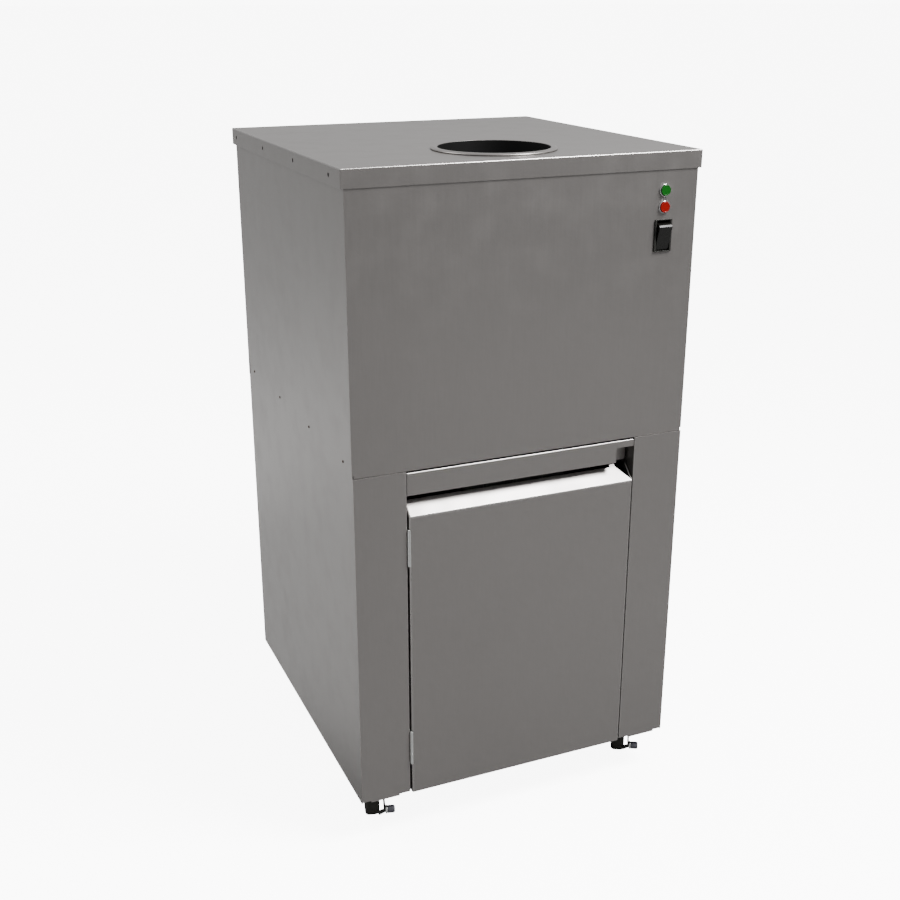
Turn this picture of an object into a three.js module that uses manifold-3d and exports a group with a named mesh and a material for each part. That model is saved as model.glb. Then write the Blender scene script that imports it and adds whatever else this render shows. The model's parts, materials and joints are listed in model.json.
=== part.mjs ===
// Floor-standing trash compactor with a round chute in its top, a vertical screw-driven ram that
// carries a trap door, a bin behind a front door, and four swivel casters.
// Millimetres. X runs to the right, Y runs to the back, Z runs up from the floor.

import * as THREE from 'three';
import { mergeVertices } from 'three/addons/utils/BufferGeometryUtils.js';
import Module from 'manifold-3d';

const wasm = await Module();
wasm.setup();

// Overall sizes
const COVER_WIDTH = 610;
const CABINET_DEPTH = 630;
const LOWER_HEIGHT = 598;
const UPPER_HEIGHT = 474;

// Sheet metal
const SHEET = 1.5;
const GAP = 0.3;
const COVER_OVERHANG = 6;
const COVER_FLANGE = 29;
const LOWER_INSET = 1;
const SIDE_SEAM_RISE = 25;
const SEAM = 0.5;
const COVER_HOLE_RADIUS = 3.5;
const COVER_HOLE_DROP = 14.7;
const COVER_HOLE_FRONT = 52.2;
const COVER_HOLE_REAR = 32.3;
const COVER_HOLES = 4;

// Chute and ram
const CHUTE_RADIUS = 90;
const CHUTE_FROM_FRONT = 136;
const CHUTE_WALL = 1.2;
const RIM_WIDTH = 12;
const RIM_HEIGHT = 4;
const SLEEVE_CLEARANCE = 2.8;
const SLEEVE_WALL = 1.2;
const PLATEN_THICKNESS = 6;
const PLATEN_MARGIN = 5;
const SKIRT_WALL = 2;
const FLAP_THICKNESS = 3;
const FLAP_HINGE_RADIUS = 2.5;
const FLAP_TO_SLEEVE = 2;
const FLAP_SIDE_GAP = 1;
const FLAP_TOP_GAP = 1.5;
const PLATEN_TO_DECK = 4;
const CHUTE_FOOT_RISE = 6;
const DECK_SIDE_CLEARANCE = 13;
const DECK_FRONT_CLEARANCE = 6;
const DECK_REAR_CLEARANCE = 10;
const RAM_TO_BIN = 25;
const RAM_TO_BIN_REAR = 17;
const CROSSHEAD_HEIGHT = 35;
const CROSSHEAD_DEPTH = 70;
const CROSSHEAD_END = 14.5;
const STROKE_MARGIN = 32;
const GUIDE_ROD_RADIUS = 12.5;
const GUIDE_ROD_INSET = 63;
const SCREW_RADIUS = 12.5;
const SCREW_BEHIND_CHUTE = 180;
const SCREW_FOOT = 5;
const SCREW_HEAD = 6;
const NUT_RADIUS = 22;
const NUT_FLANGE_RADIUS = 28;
const NUT_FLANGE = 8;
const RUNNING = 0.3;

// Drive
const BRIDGE_DROP = 66;
const BRIDGE_THICKNESS = 6;
const BRIDGE_FLANGE = 30;
const CROSSHEAD_TO_BRIDGE = 20;
const BRIDGE_FRONT_MARGIN = 45;
const BRIDGE_REAR_MARGIN = 25;
const SHAFT_CLEARANCE = 1.5;
const BEARING_RADIUS = 30;
const BEARING_HEIGHT = 18;
const SPROCKET_THICKNESS = 6;
const SPROCKET_RISE = 4;
const TOOTH_HEIGHT = 3.5;
const TOOTH_TIP = 1;
const SCREW_TEETH = 24;
const DRIVE_TEETH = 12;
const CHAIN_PITCH = 12.7;
const CHAIN_THICKNESS = 8;
const DRIVE_SHAFT_RADIUS = 9;
const DRIVE_SHAFT_PROUD = 4;
const MOTOR_RADIUS = 55;
const MOTOR_LENGTH = 200;
const MOTOR_FROM_REAR = 80;
const GEARBOX_HEIGHT = 80;
const CONTROL_BOX_DEPTH = 95;
const CONTROL_BOX_HEIGHT = 240;
const CONTROL_BOX_WALL = 2;
const CONTROL_BOX_TO_MOTOR = 45;
const CONTROL_BOX_TO_SIDE = 14;
const CONTROL_BOX_BESIDE_MOTOR = 10;
const CONTROL_BOX_RISE = 22;
const CABLE_HOLE_RADIUS = 8;
const CABLE_HOLE_INSET = 30;

// Power inlet: width and height of each block, then depths
const INLET_FROM_SIDE = 99;
const INLET_RISE = 42;
const INLET_FLANGE = [50, 30];
const INLET_BODY = [31, 23];
const INLET_MOUTH = [24, 16];
const INLET_PROUD = 2.5;
const INLET_DEPTH = 21;
const INLET_FLOOR = 4;
const BLADE_LENGTH = 11;
const BLADE_THICKNESS = 2;
const BLADE_WIDTH = 4;
const BLADE_PLACES = [[-7, -1.5], [0, 2], [7, -1.5]];

// Lower cabinet, door and bin
const DOOR_WIDTH = 410;
const DOOR_CENTRE = 0.5;
const DOOR_THICKNESS = 25;
const DOOR_DROP = 79;
const LEDGE_DEPTH = 21.5;
const LEDGE_TAB_WIDTH = 10;
const LEDGE_MITRE = 20;
const HINGE_GAP = 4.5;
const LATCH_GAP = 1.5;
const POST_DEPTH = 40;
const POST_LIP = 14;
const POST_RELIEF = 3;
const POST_FLANGE_INSET = 20;
const POST_OUTER_INSET = 17;
const HEADER_HEIGHT = 39.5;
const HEADER_DROP = 3.5;
const HEADER_RECESS = 2;
const HEADER_DEPTH = 23;
const HEADER_NOTCH_WIDTH = 34;
const HEADER_NOTCH_HEIGHT = 27;
const HEADER_END_GAP = 1.3;
const CATCH_WIDTH = 54;
const CATCH_SIDE_GAP = 3;
const CATCH_BEHIND_HEADER = 2;
const CATCH_ABOVE_LEDGE = 7;
const CATCH_TOP_GAP = 2;
const INTERLOCK_SIZE = [30, 16, 34];
const INTERLOCK_SIDE_GAP = 5;
const INTERLOCK_DROP = 50;
const INTERLOCK_PLUNGER_RADIUS = 4;
const INTERLOCK_PLUNGER_PROUD = 3;
const DECK_THICKNESS = 3;
const BASE_RISE = 23;
const BASE_THICKNESS = 4;
const BIN_TO_DOOR = 6;
const BIN_SIDE = 17.5;
const BIN_WALL = 1.5;
const BIN_DROP = 95;
const MACHINE_BAY = 150;
const HINGE_LENGTH = 63.5;
const HINGE_PIN_RADIUS = 1.3;
const HINGE_KNUCKLE_RADIUS = 2.7;
const HINGE_PROUD = 2;
const HINGE_LEAF = 1.2;
const HINGE_LEAF_DEPTH = 20;
const INNER_PANEL_DROP = 10;
const UPPER_HINGE_DROP = 53;
const LOWER_HINGE_RISE = 91;

// Controls
const CONTROL_INSET = 60.5;
const GREEN_DROP = 61.3;
const BUTTON_SPACING = 26.5;
const BUTTON_RADIUS = 8;
const BUTTON_PROUD = 5;
const BUTTON_TRAVEL = 3;
const BUTTON_CLEARANCE = 0.4;
const BUTTON_DEPTH = 18;
const BEZEL_DEPTH = 26;
const BEZEL_FLOOR = 2;
const BEZEL_RADIUS = 10.2;
const BEZEL_WALL = 0.8;
const BEZEL_PROUD = 2.5;
const ROCKER_FRAME_WIDTH = 31.3;
const ROCKER_FRAME_HEIGHT = 52.1;
const ROCKER_DROP = 133.5;
const ROCKER_WIDTH = 20.5;
const ROCKER_LENGTH = 40;
const ROCKER_TILT = 16;
const ROCKER_FRONT = 9.5;
const ROCKER_BACK = 4;
const ROCKER_BEVEL = 3.5;
const ROCKER_CLEARANCE = 0.6;
const ROCKER_PIVOT_DEPTH = 3.2;
const ROCKER_PIVOT_RISE = 0.2;
const ROCKER_FRAME_PROUD = 2.5;
const ROCKER_FRAME_DEPTH = 24;
const ROCKER_FRAME_FLOOR = 3;
const ROCKER_FLANGE = [2, 1];

// Casters
const WHEEL_RADIUS = 37.5;
const WHEEL_WIDTH = 26;
const SKIRT_CLEARANCE = 5;
const CASTER_TRAIL = 30;
const FRONT_LEFT_INSET = 52;
const FRONT_RIGHT_INSET = 26;
const REAR_INSET = 46;
const CASTER_FRONT = 111;
const CASTER_REAR = 85;
const AXLE_RADIUS = 4;
const FORK_PLATE = 2.5;
const FORK_HEAD_RADIUS = 22;
const CASTER_PLATE = 3;
const CROWN_DROP = 0.6;
const CROWN_THICKNESS = 3;
const CROWN_FRONT = 22;
const CROWN_REAR = 18;
const FORK_CLEARANCE = 1.5;
const AXLE_PROUD = 3;
const HUB_RADIUS = 12;
const HUB_PROUD = 0.8;
const TREAD_SHOULDER = 3;
const LEVER_PIVOT = [-56, 72];
const LEVER_END = [-92, 46];
const LEVER_THICKNESS = 3;
const KNOB_RADIUS = 7;
const KNOB_LENGTH = 20;

// Places worked out from those sizes
const coverHalf = COVER_WIDTH / 2;
const depthHalf = CABINET_DEPTH / 2;
const upperHalf = coverHalf - COVER_OVERHANG;
const lowerHalf = upperHalf - LOWER_INSET;
const bodyBottom = 2 * WHEEL_RADIUS + SKIRT_CLEARANCE;
const frontSeam = bodyBottom + LOWER_HEIGHT;
const sideSeam = frontSeam + SIDE_SEAM_RISE;
const coverTop = frontSeam + UPPER_HEIGHT;
const upperFace = depthHalf - SHEET - GAP;
const sideInner = lowerHalf - SHEET - GAP;
const deckTop = frontSeam + DECK_THICKNESS;
const chuteY = -depthHalf + CHUTE_FROM_FRONT;
const chuteOuter = CHUTE_RADIUS + CHUTE_WALL;
const sleeveInner = chuteOuter + SLEEVE_CLEARANCE;
const sleeveOuter = sleeveInner + SLEEVE_WALL;
const screwY = chuteY + SCREW_BEHIND_CHUTE;
const platenBottom = deckTop + PLATEN_TO_DECK;
const platenTop = platenBottom + PLATEN_THICKNESS;
const bridgeBottom = coverTop - BRIDGE_DROP;
const bridgeTop = bridgeBottom + BRIDGE_THICKNESS;
const crossheadTop = bridgeBottom - CROSSHEAD_TO_BRIDGE;
const crossheadBottom = crossheadTop - CROSSHEAD_HEIGHT;
const ramStroke = crossheadBottom - deckTop - STROKE_MARGIN;
const doorLeft = DOOR_CENTRE - DOOR_WIDTH / 2;
const doorRight = DOOR_CENTRE + DOOR_WIDTH / 2;
const doorTop = frontSeam - DOOR_DROP;
const doorBack = -depthHalf + DOOR_THICKNESS;
const openingLeft = doorLeft - HINGE_GAP;
const openingRight = doorRight + LATCH_GAP;
const baseTop = bodyBottom + BASE_RISE + BASE_THICKNESS;
const binFront = doorBack + BIN_TO_DOOR;
const binRear = depthHalf - MACHINE_BAY;
const binHalf = Math.min(-openingLeft, openingRight) - BIN_SIDE;
const binTop = frontSeam - BIN_DROP;
const ramFront = chuteY - sleeveInner - PLATEN_MARGIN;
const ramRear = binRear - RAM_TO_BIN_REAR;
const ramHalf = binHalf - RAM_TO_BIN;
const guideX = lowerHalf - GUIDE_ROD_INSET;
const motorY = depthHalf - MOTOR_FROM_REAR;
const controlX = upperHalf - CONTROL_INSET;
const greenZ = coverTop - GREEN_DROP;
const rockerZ = coverTop - ROCKER_DROP;
const inletX = upperHalf - INLET_FROM_SIDE;
const inletZ = frontSeam + INLET_RISE;

// Finishes
const finish = (color, roughness, metalness) => new THREE.MeshStandardMaterial({ color, roughness, metalness });
const CABINET_STEEL = finish(0x7c7a76, 0.42, 0.85);
const ZINC = finish(0xb4b6b8, 0.35, 0.95);
const DARK_STEEL = finish(0x3a3a3c, 0.5, 0.8);
const BLACK_PLASTIC = finish(0x201f1c, 0.5, 0);
const CHROME = finish(0xd8dadc, 0.12, 1);
const CHUTE_BLACK = finish(0x0a0a0a, 0.6, 0.2);
const BIN_PLASTIC = finish(0x3c4246, 0.6, 0);
const MOTOR_PAINT = finish(0x2c3136, 0.45, 0.3);
const GREEN_LENS = finish(0x1c761c, 0.3, 0);
const RED_LENS = finish(0xaa1c14, 0.3, 0);
const TREAD = finish(0x20201c, 0.8, 0);

const compactor = new THREE.Group();

function add(name, geometry, material, parent = compactor) {
  const mesh = new THREE.Mesh(geometry, material);
  mesh.name = name;
  parent.add(mesh);
  return mesh;
}

// Solids: every cut or join goes through these, on merged vertices.
function toSolid(geometry) {
  const bare = geometry.clone();
  bare.deleteAttribute('normal');
  bare.deleteAttribute('uv');
  const merged = mergeVertices(bare, 1e-4);
  const vertProperties = new Float32Array(merged.attributes.position.array);
  const triVerts = new Uint32Array(merged.index.array);
  return new wasm.Manifold(new wasm.Mesh({ numProp: 3, vertProperties, triVerts }));
}

function toGeometry(solid) {
  const mesh = solid.getMesh();
  const geometry = new THREE.BufferGeometry();
  geometry.setAttribute('position', new THREE.BufferAttribute(new Float32Array(mesh.vertProperties), 3));
  geometry.setIndex(new THREE.BufferAttribute(new Uint32Array(mesh.triVerts), 1));
  return geometry;
}

function cut(body, ...tools) {
  return toGeometry(tools.reduce((solid, tool) => solid.subtract(toSolid(tool)), toSolid(body)));
}

function join(body, ...others) {
  return toGeometry(others.reduce((solid, other) => solid.add(toSolid(other)), toSolid(body)));
}

function box(x0, x1, y0, y1, z0, z1) {
  const geometry = new THREE.BoxGeometry(x1 - x0, y1 - y0, z1 - z0);
  return geometry.translate((x0 + x1) / 2, (y0 + y1) / 2, (z0 + z1) / 2);
}

// An upright cylinder.
function rod(radius, x, y, z0, z1, segments = 32) {
  const geometry = new THREE.CylinderGeometry(radius, radius, z1 - z0, segments);
  return geometry.rotateX(Math.PI / 2).translate(x, y, (z0 + z1) / 2);
}

// A cylinder lying along Y.
function rodAlongY(radius, x, z, y0, y1, segments = 24) {
  const geometry = new THREE.CylinderGeometry(radius, radius, y1 - y0, segments);
  return geometry.translate(x, (y0 + y1) / 2, z);
}

// A cylinder lying along X.
function rodAlongX(radius, y, z, x0, x1, segments = 32) {
  const geometry = new THREE.CylinderGeometry(radius, radius, x1 - x0, segments);
  return geometry.rotateZ(Math.PI / 2).translate((x0 + x1) / 2, y, z);
}

function outline(points) {
  return new THREE.Shape(points.map(([u, v]) => new THREE.Vector2(u, v)));
}

// An outline drawn in X and Y, raised from z0 to z1.
function raised(points, z0, z1) {
  const geometry = new THREE.ExtrudeGeometry(outline(points), { depth: z1 - z0, bevelEnabled: false });
  return geometry.translate(0, 0, z0);
}

// An outline drawn in Y and Z, carried from x0 to x1.
function carried(points, x0, x1) {
  const geometry = new THREE.ExtrudeGeometry(outline(points), { depth: x1 - x0, bevelEnabled: false });
  const turn = new THREE.Matrix4().set(0, 0, 1, x0, 1, 0, 0, 0, 0, 1, 0, 0, 0, 0, 0, 1);
  return geometry.applyMatrix4(turn);
}

// A closed ring: a radius and height profile turned about an upright axis at x, y.
function turned(profile, x, y, segments = 48) {
  const closed = [...profile, profile[0]].map(([radius, height]) => new THREE.Vector2(radius, height));
  const geometry = new THREE.LatheGeometry(closed, segments);
  return geometry.rotateX(Math.PI / 2).translate(x, y, 0);
}

// A round tube wall between two radii.
function tube(inner, outer, x, y, z0, z1, segments = 48) {
  return turned([[inner, z0], [outer, z0], [outer, z1], [inner, z1]], x, y, segments);
}

// Top cover: a pan with four down-turned flanges, the chute hole and a row of holes on each side.
function topCover() {
  const skirtBottom = coverTop - COVER_FLANGE;
  const shell = box(-coverHalf, coverHalf, -depthHalf, depthHalf, skirtBottom, coverTop);
  const inside = box(-coverHalf + SHEET, coverHalf - SHEET, -depthHalf + SHEET, depthHalf - SHEET,
    skirtBottom - 1, coverTop - SHEET);
  const tools = [inside, rod(chuteOuter + GAP, 0, chuteY, skirtBottom, coverTop + 1, 48)];
  const pitch = (CABINET_DEPTH - COVER_HOLE_FRONT - COVER_HOLE_REAR) / (COVER_HOLES - 1);
  for (let i = 0; i < COVER_HOLES; i += 1) {
    const y = -depthHalf + COVER_HOLE_FRONT + i * pitch;
    const z = coverTop - COVER_HOLE_DROP;
    tools.push(rodAlongX(COVER_HOLE_RADIUS, y, z, -coverHalf - 1, coverHalf + 1, 12));
  }
  return cut(shell, ...tools);
}

// Chute: one spun collar, a flat rim on the cover and a tube that reaches down into the ram.
function chute() {
  const foot = platenTop + CHUTE_FOOT_RISE;
  const rimBottom = coverTop + GAP;
  const rimTop = coverTop + RIM_HEIGHT;
  const rimOuter = CHUTE_RADIUS + RIM_WIDTH;
  const profile = [[CHUTE_RADIUS, foot], [chuteOuter, foot], [chuteOuter, rimBottom],
    [rimOuter, rimBottom], [rimOuter, rimTop], [CHUTE_RADIUS, rimTop]];
  return turned(profile, 0, chuteY);
}

function upperFrontPanel() {
  const panel = box(-upperHalf, upperHalf, -upperFace, -upperFace + SHEET, frontSeam, coverTop - SHEET - GAP);
  const barrel = BUTTON_RADIUS + BUTTON_CLEARANCE + BEZEL_WALL + GAP;
  const depth = [-upperFace - 1, -upperFace + SHEET + 1];
  const windowHalf = ROCKER_FRAME_WIDTH / 2 - ROCKER_FLANGE[0] + GAP;
  const windowRise = ROCKER_FRAME_HEIGHT / 2 - ROCKER_FLANGE[1] + GAP;
  return cut(panel,
    rodAlongY(barrel, controlX, greenZ, ...depth),
    rodAlongY(barrel, controlX, greenZ - BUTTON_SPACING, ...depth),
    box(controlX - windowHalf, controlX + windowHalf, ...depth, rockerZ - windowRise, rockerZ + windowRise));
}

function upperSidePanel(side) {
  const inner = side * (upperHalf - SHEET);
  const outer = side * upperHalf;
  const reach = upperFace - SHEET - GAP;
  return box(Math.min(inner, outer), Math.max(inner, outer), -reach, reach, sideSeam, coverTop - SHEET - GAP);
}

function upperBackPanel() {
  const panel = box(-upperHalf, upperHalf, upperFace - SHEET, upperFace, frontSeam, coverTop - SHEET - GAP);
  const [width, height] = INLET_BODY.map((size) => size / 2 + GAP);
  return cut(panel, box(inletX - width, inletX + width, upperFace - SHEET - 1, upperFace + 1,
    inletZ - height, inletZ + height));
}

// Power inlet: a flanged socket body with three contact blades.
function powerInlet() {
  const face = upperFace + GAP;
  const back = upperFace - INLET_DEPTH;
  const floor = back + INLET_FLOOR;
  const block = ([width, height], y0, y1, dx = 0, dz = 0) => {
    const x = inletX + dx;
    const z = inletZ + dz;
    return box(x - width / 2, x + width / 2, y0, y1, z - height / 2, z + height / 2);
  };
  const body = join(block(INLET_FLANGE, face, face + INLET_PROUD), block(INLET_BODY, back, face + 1));
  const hollow = cut(body, block(INLET_MOUTH, floor, face + INLET_PROUD + 1));
  const blades = BLADE_PLACES.map(([dx, dz]) => block([BLADE_THICKNESS, BLADE_WIDTH],
    floor - 1, floor + BLADE_LENGTH, dx, dz));
  return join(hollow, ...blades);
}

// Lower side: its ends are notched where the upper front and back panels hang in front of them.
function lowerSidePanel(side) {
  const inner = side * (lowerHalf - SHEET);
  const outer = side * lowerHalf;
  const full = upperFace;
  const notched = upperFace - SHEET - GAP;
  const top = sideSeam - SEAM;
  const step = frontSeam - GAP;
  const profile = [[-full, bodyBottom], [full, bodyBottom], [full, step], [notched, step],
    [notched, top], [-notched, top], [-notched, step], [-full, step]];
  return carried(profile, Math.min(inner, outer), Math.max(inner, outer));
}

function lowerBackPanel() {
  return box(-lowerHalf, lowerHalf, depthHalf - SHEET, depthHalf, bodyBottom, frontSeam - GAP);
}

// Front post: a channel folded from the face, the wall beside the door and a stiffening lip.
function frontPost(side) {
  const outerEdge = side * lowerHalf;
  const innerEdge = side < 0 ? openingLeft : openingRight;
  const faceY = -depthHalf;
  const back = faceY + POST_DEPTH;
  const lip = innerEdge + side * POST_LIP;
  const wall = innerEdge + side * SHEET;
  const path = [[outerEdge, faceY], [innerEdge, faceY], [innerEdge, back], [lip, back],
    [lip, back - SHEET], [wall, back - SHEET], [wall, faceY + SHEET], [outerEdge, faceY + SHEET]];
  const post = raised(side < 0 ? path : path.reverse(), bodyBottom, frontSeam - GAP);
  const inset = innerEdge + side * POST_FLANGE_INSET;
  const outset = outerEdge - side * POST_OUTER_INSET;
  const relief = (a, b) => box(Math.min(a, b), Math.max(a, b), faceY - 1, back + 1,
    bodyBottom - 1, bodyBottom + POST_RELIEF);
  return cut(post, relief(innerEdge - side, inset), relief(outset, outerEdge + side));
}

// Header rail: a C section across the top of the door opening, notched at the latch end.
function headerRail() {
  const face = -depthHalf + HEADER_RECESS;
  const back = -depthHalf + HEADER_DEPTH;
  const top = frontSeam - HEADER_DROP;
  const bottom = top - HEADER_HEIGHT;
  const section = [[face, bottom], [back, bottom], [back, bottom + SHEET], [face + SHEET, bottom + SHEET],
    [face + SHEET, top - SHEET], [back, top - SHEET], [back, top], [face, top]];
  const rail = carried(section, openingLeft + HEADER_END_GAP, openingRight - GAP);
  const notch = box(openingRight - HEADER_NOTCH_WIDTH, openingRight + 1, face - 1, back + 1,
    bottom - 1, bottom + HEADER_NOTCH_HEIGHT);
  return cut(rail, notch);
}

// Catch bracket behind the notch, above the ledge tab.
function doorCatch() {
  const x1 = openingRight - CATCH_SIDE_GAP;
  const y0 = -depthHalf + HEADER_DEPTH + CATCH_BEHIND_HEADER;
  const z0 = doorTop + DOOR_THICKNESS + CATCH_ABOVE_LEDGE;
  return box(x1 - CATCH_WIDTH, x1, y0, y0 + SHEET, z0, frontSeam - HEADER_DROP - CATCH_TOP_GAP);
}

// Interlock switch behind the catch bracket, its plunger pointing to the left.
function interlockSwitch() {
  const [width, depth, height] = INTERLOCK_SIZE;
  const x1 = openingRight - INTERLOCK_SIDE_GAP;
  const x0 = x1 - width;
  const y0 = -depthHalf + HEADER_DEPTH + CATCH_BEHIND_HEADER + SHEET + GAP;
  const z0 = frontSeam - INTERLOCK_DROP;
  const plunger = rodAlongX(INTERLOCK_PLUNGER_RADIUS, y0 + depth / 2, z0 + height / 2,
    x0 - INTERLOCK_PLUNGER_PROUD, x0 + 1, 16);
  return join(box(x0, x1, y0, y0 + depth, z0, z0 + height), plunger);
}

function deckPlate() {
  const reach = upperFace - SHEET - GAP;
  const plate = box(-sideInner, sideInner, -reach, reach, frontSeam, deckTop);
  const half = ramHalf + DECK_SIDE_CLEARANCE;
  return cut(plate, box(-half, half, ramFront - DECK_FRONT_CLEARANCE, ramRear + DECK_REAR_CLEARANCE,
    frontSeam - 1, deckTop + 1));
}

function basePan() {
  const front = -depthHalf + POST_DEPTH + GAP;
  return box(-sideInner, sideInner, front, upperFace, bodyBottom + BASE_RISE, baseTop);
}

function bin() {
  const shell = box(-binHalf, binHalf, binFront, binRear, baseTop + GAP, binTop);
  const inside = box(-binHalf + BIN_WALL, binHalf - BIN_WALL, binFront + BIN_WALL, binRear - BIN_WALL,
    baseTop + GAP + BIN_WALL, binTop + 1);
  return cut(shell, inside);
}

// Bridge: the plate that carries the screw, its bearing and the gear motor, flanged at both ends.
function bridgePlate() {
  const front = screwY - BRIDGE_FRONT_MARGIN;
  const rear = depthHalf - BRIDGE_REAR_MARGIN;
  const plate = box(-sideInner, sideInner, front, rear, bridgeBottom, bridgeTop);
  const flange = (side) => {
    const x = side * (sideInner - BRIDGE_THICKNESS / 2);
    return box(x - BRIDGE_THICKNESS / 2, x + BRIDGE_THICKNESS / 2, front, rear,
      bridgeBottom - BRIDGE_FLANGE, bridgeTop);
  };
  const hole = (radius, y) => rod(radius + SHAFT_CLEARANCE, 0, y, bridgeBottom - 1, bridgeTop + 1);
  return cut(join(plate, flange(-1), flange(1)), hole(SCREW_RADIUS, screwY), hole(DRIVE_SHAFT_RADIUS, motorY));
}

function guideRod(side) {
  return rod(GUIDE_ROD_RADIUS, side * guideX, screwY, deckTop + GAP, bridgeBottom - GAP);
}

function upperBearing() {
  const z0 = bridgeTop + GAP;
  return tube(SCREW_RADIUS + RUNNING, BEARING_RADIUS, 0, screwY, z0, z0 + BEARING_HEIGHT, 32);
}

function gearbox() {
  const top = bridgeBottom - GAP;
  const half = MOTOR_RADIUS;
  return box(-half, half, motorY - half, motorY + half, top - GEARBOX_HEIGHT, top);
}

function motor() {
  const top = bridgeBottom - GAP - GEARBOX_HEIGHT - GAP;
  return rod(MOTOR_RADIUS, 0, motorY, top - MOTOR_LENGTH, top, 40);
}

function controlBox() {
  const x0 = MOTOR_RADIUS + CONTROL_BOX_TO_MOTOR;
  const x1 = upperHalf - CONTROL_BOX_TO_SIDE;
  const y0 = motorY - MOTOR_RADIUS + CONTROL_BOX_BESIDE_MOTOR;
  const y1 = y0 + CONTROL_BOX_DEPTH;
  const z0 = frontSeam + CONTROL_BOX_RISE;
  const z1 = z0 + CONTROL_BOX_HEIGHT;
  const wall = CONTROL_BOX_WALL;
  const inside = box(x0 + wall, x1 - wall, y0 + wall, y1 - wall, z0 + wall, z1 - wall);
  const cableHole = rod(CABLE_HOLE_RADIUS, x1 - CABLE_HOLE_INSET, y0 + CABLE_HOLE_INSET,
    z0 - 1, z0 + wall + 1, 16);
  return cut(box(x0, x1, y0, y1, z0, z1), inside, cableHole);
}

// Sprockets and chain share one level above the bearing.
const sprocketZ = bridgeTop + GAP + BEARING_HEIGHT + SPROCKET_RISE;
const pitchRadius = (teeth) => CHAIN_PITCH / (2 * Math.sin(Math.PI / teeth));

function toothedDisc(teeth, x, y) {
  const root = pitchRadius(teeth) - TOOTH_HEIGHT;
  const tip = pitchRadius(teeth) + TOOTH_TIP;
  const points = [];
  for (let i = 0; i < teeth; i += 1) {
    [[-0.3, root], [-0.12, tip], [0.12, tip], [0.3, root]].forEach(([share, radius]) => {
      const angle = ((i + share) / teeth) * 2 * Math.PI;
      points.push([x + radius * Math.cos(angle), y + radius * Math.sin(angle)]);
    });
  }
  return raised(points, sprocketZ, sprocketZ + SPROCKET_THICKNESS);
}

function screwSprocket() {
  const disc = toothedDisc(SCREW_TEETH, 0, screwY);
  return cut(disc, rod(SCREW_RADIUS + GAP, 0, screwY, sprocketZ - 1, sprocketZ + SPROCKET_THICKNESS + 1));
}

function driveSprocket() {
  const shaftTop = sprocketZ + SPROCKET_THICKNESS + DRIVE_SHAFT_PROUD;
  const shaft = rod(DRIVE_SHAFT_RADIUS, 0, motorY, bridgeBottom, shaftTop);
  return join(toothedDisc(DRIVE_TEETH, 0, motorY), shaft);
}

// Chain: a belt around both sprockets, drawn as two arcs joined by the outer tangents.
function chainOutline(extra) {
  const big = pitchRadius(SCREW_TEETH) + TOOTH_TIP + extra;
  const small = pitchRadius(DRIVE_TEETH) + TOOTH_TIP + extra;
  const lean = Math.asin((big - small) / (motorY - screwY));
  const points = [];
  const arc = (radius, y, from, to, steps) => {
    for (let i = 0; i <= steps; i += 1) {
      const angle = from + ((to - from) * i) / steps;
      points.push([radius * Math.cos(angle), y + radius * Math.sin(angle)]);
    }
  };
  arc(small, motorY, lean, Math.PI - lean, 14);
  arc(big, screwY, Math.PI - lean, 2 * Math.PI + lean, 26);
  return points;
}

function driveChain() {
  const z0 = sprocketZ;
  const z1 = sprocketZ + SPROCKET_THICKNESS;
  return cut(raised(chainOutline(GAP + CHAIN_THICKNESS), z0, z1), raised(chainOutline(GAP), z0 - 1, z1 + 1));
}

function leadScrew() {
  const foot = crossheadBottom - ramStroke - SCREW_FOOT;
  return rod(SCREW_RADIUS, 0, screwY, foot, sprocketZ + SPROCKET_THICKNESS + SCREW_HEAD);
}

// Ram: platen, skirt, sleeve, crosshead and nut move as one.
function ramPlaten() {
  const plate = box(-ramHalf, ramHalf, ramFront, ramRear, platenBottom, platenTop);
  return cut(plate, rod(sleeveInner, 0, chuteY, platenBottom - 1, platenTop + 1, 48));
}

function ramSkirt() {
  const z0 = platenTop + GAP;
  const z1 = crossheadBottom - GAP;
  const wall = SKIRT_WALL;
  return cut(box(-ramHalf, ramHalf, ramFront, ramRear, z0, z1),
    box(-ramHalf + wall, ramHalf - wall, ramFront + wall, ramRear - wall, z0 - 1, z1 + 1));
}

function ramSleeve() {
  return tube(sleeveInner, sleeveOuter, 0, chuteY, platenTop + GAP, crossheadBottom - GAP);
}

function ramCrosshead() {
  const half = guideX + GUIDE_ROD_RADIUS + CROSSHEAD_END;
  const front = screwY - CROSSHEAD_DEPTH / 2;
  const beam = box(-half, half, front, front + CROSSHEAD_DEPTH, crossheadBottom, crossheadTop);
  const through = (radius, x) => rod(radius, x, screwY, crossheadBottom - 1, crossheadTop + 1);
  return cut(beam, through(GUIDE_ROD_RADIUS + RUNNING, -guideX), through(GUIDE_ROD_RADIUS + RUNNING, guideX),
    through(NUT_RADIUS + GAP, 0));
}

function screwNut() {
  const bore = SCREW_RADIUS + RUNNING;
  const seat = crossheadTop + GAP;
  const profile = [[bore, crossheadBottom], [NUT_RADIUS, crossheadBottom], [NUT_RADIUS, seat],
    [NUT_FLANGE_RADIUS, seat], [NUT_FLANGE_RADIUS, seat + NUT_FLANGE], [bore, seat + NUT_FLANGE]];
  return turned(profile, 0, screwY, 32);
}

// Trap flap: a plate that hangs from a barrel under the platen, at the front or rear of the hole.
function trapFlap(side) {
  const y = chuteY + side * (sleeveInner + FLAP_TO_SLEEVE);
  const z = platenBottom - FLAP_TOP_GAP - FLAP_HINGE_RADIUS;
  const half = sleeveInner - FLAP_SIDE_GAP;
  const plate = box(-half, half, y - FLAP_THICKNESS / 2, y + FLAP_THICKNESS / 2, z - half, z);
  return join(plate, rodAlongX(FLAP_HINGE_RADIUS, y, z, -half, half, 16));
}

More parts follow.
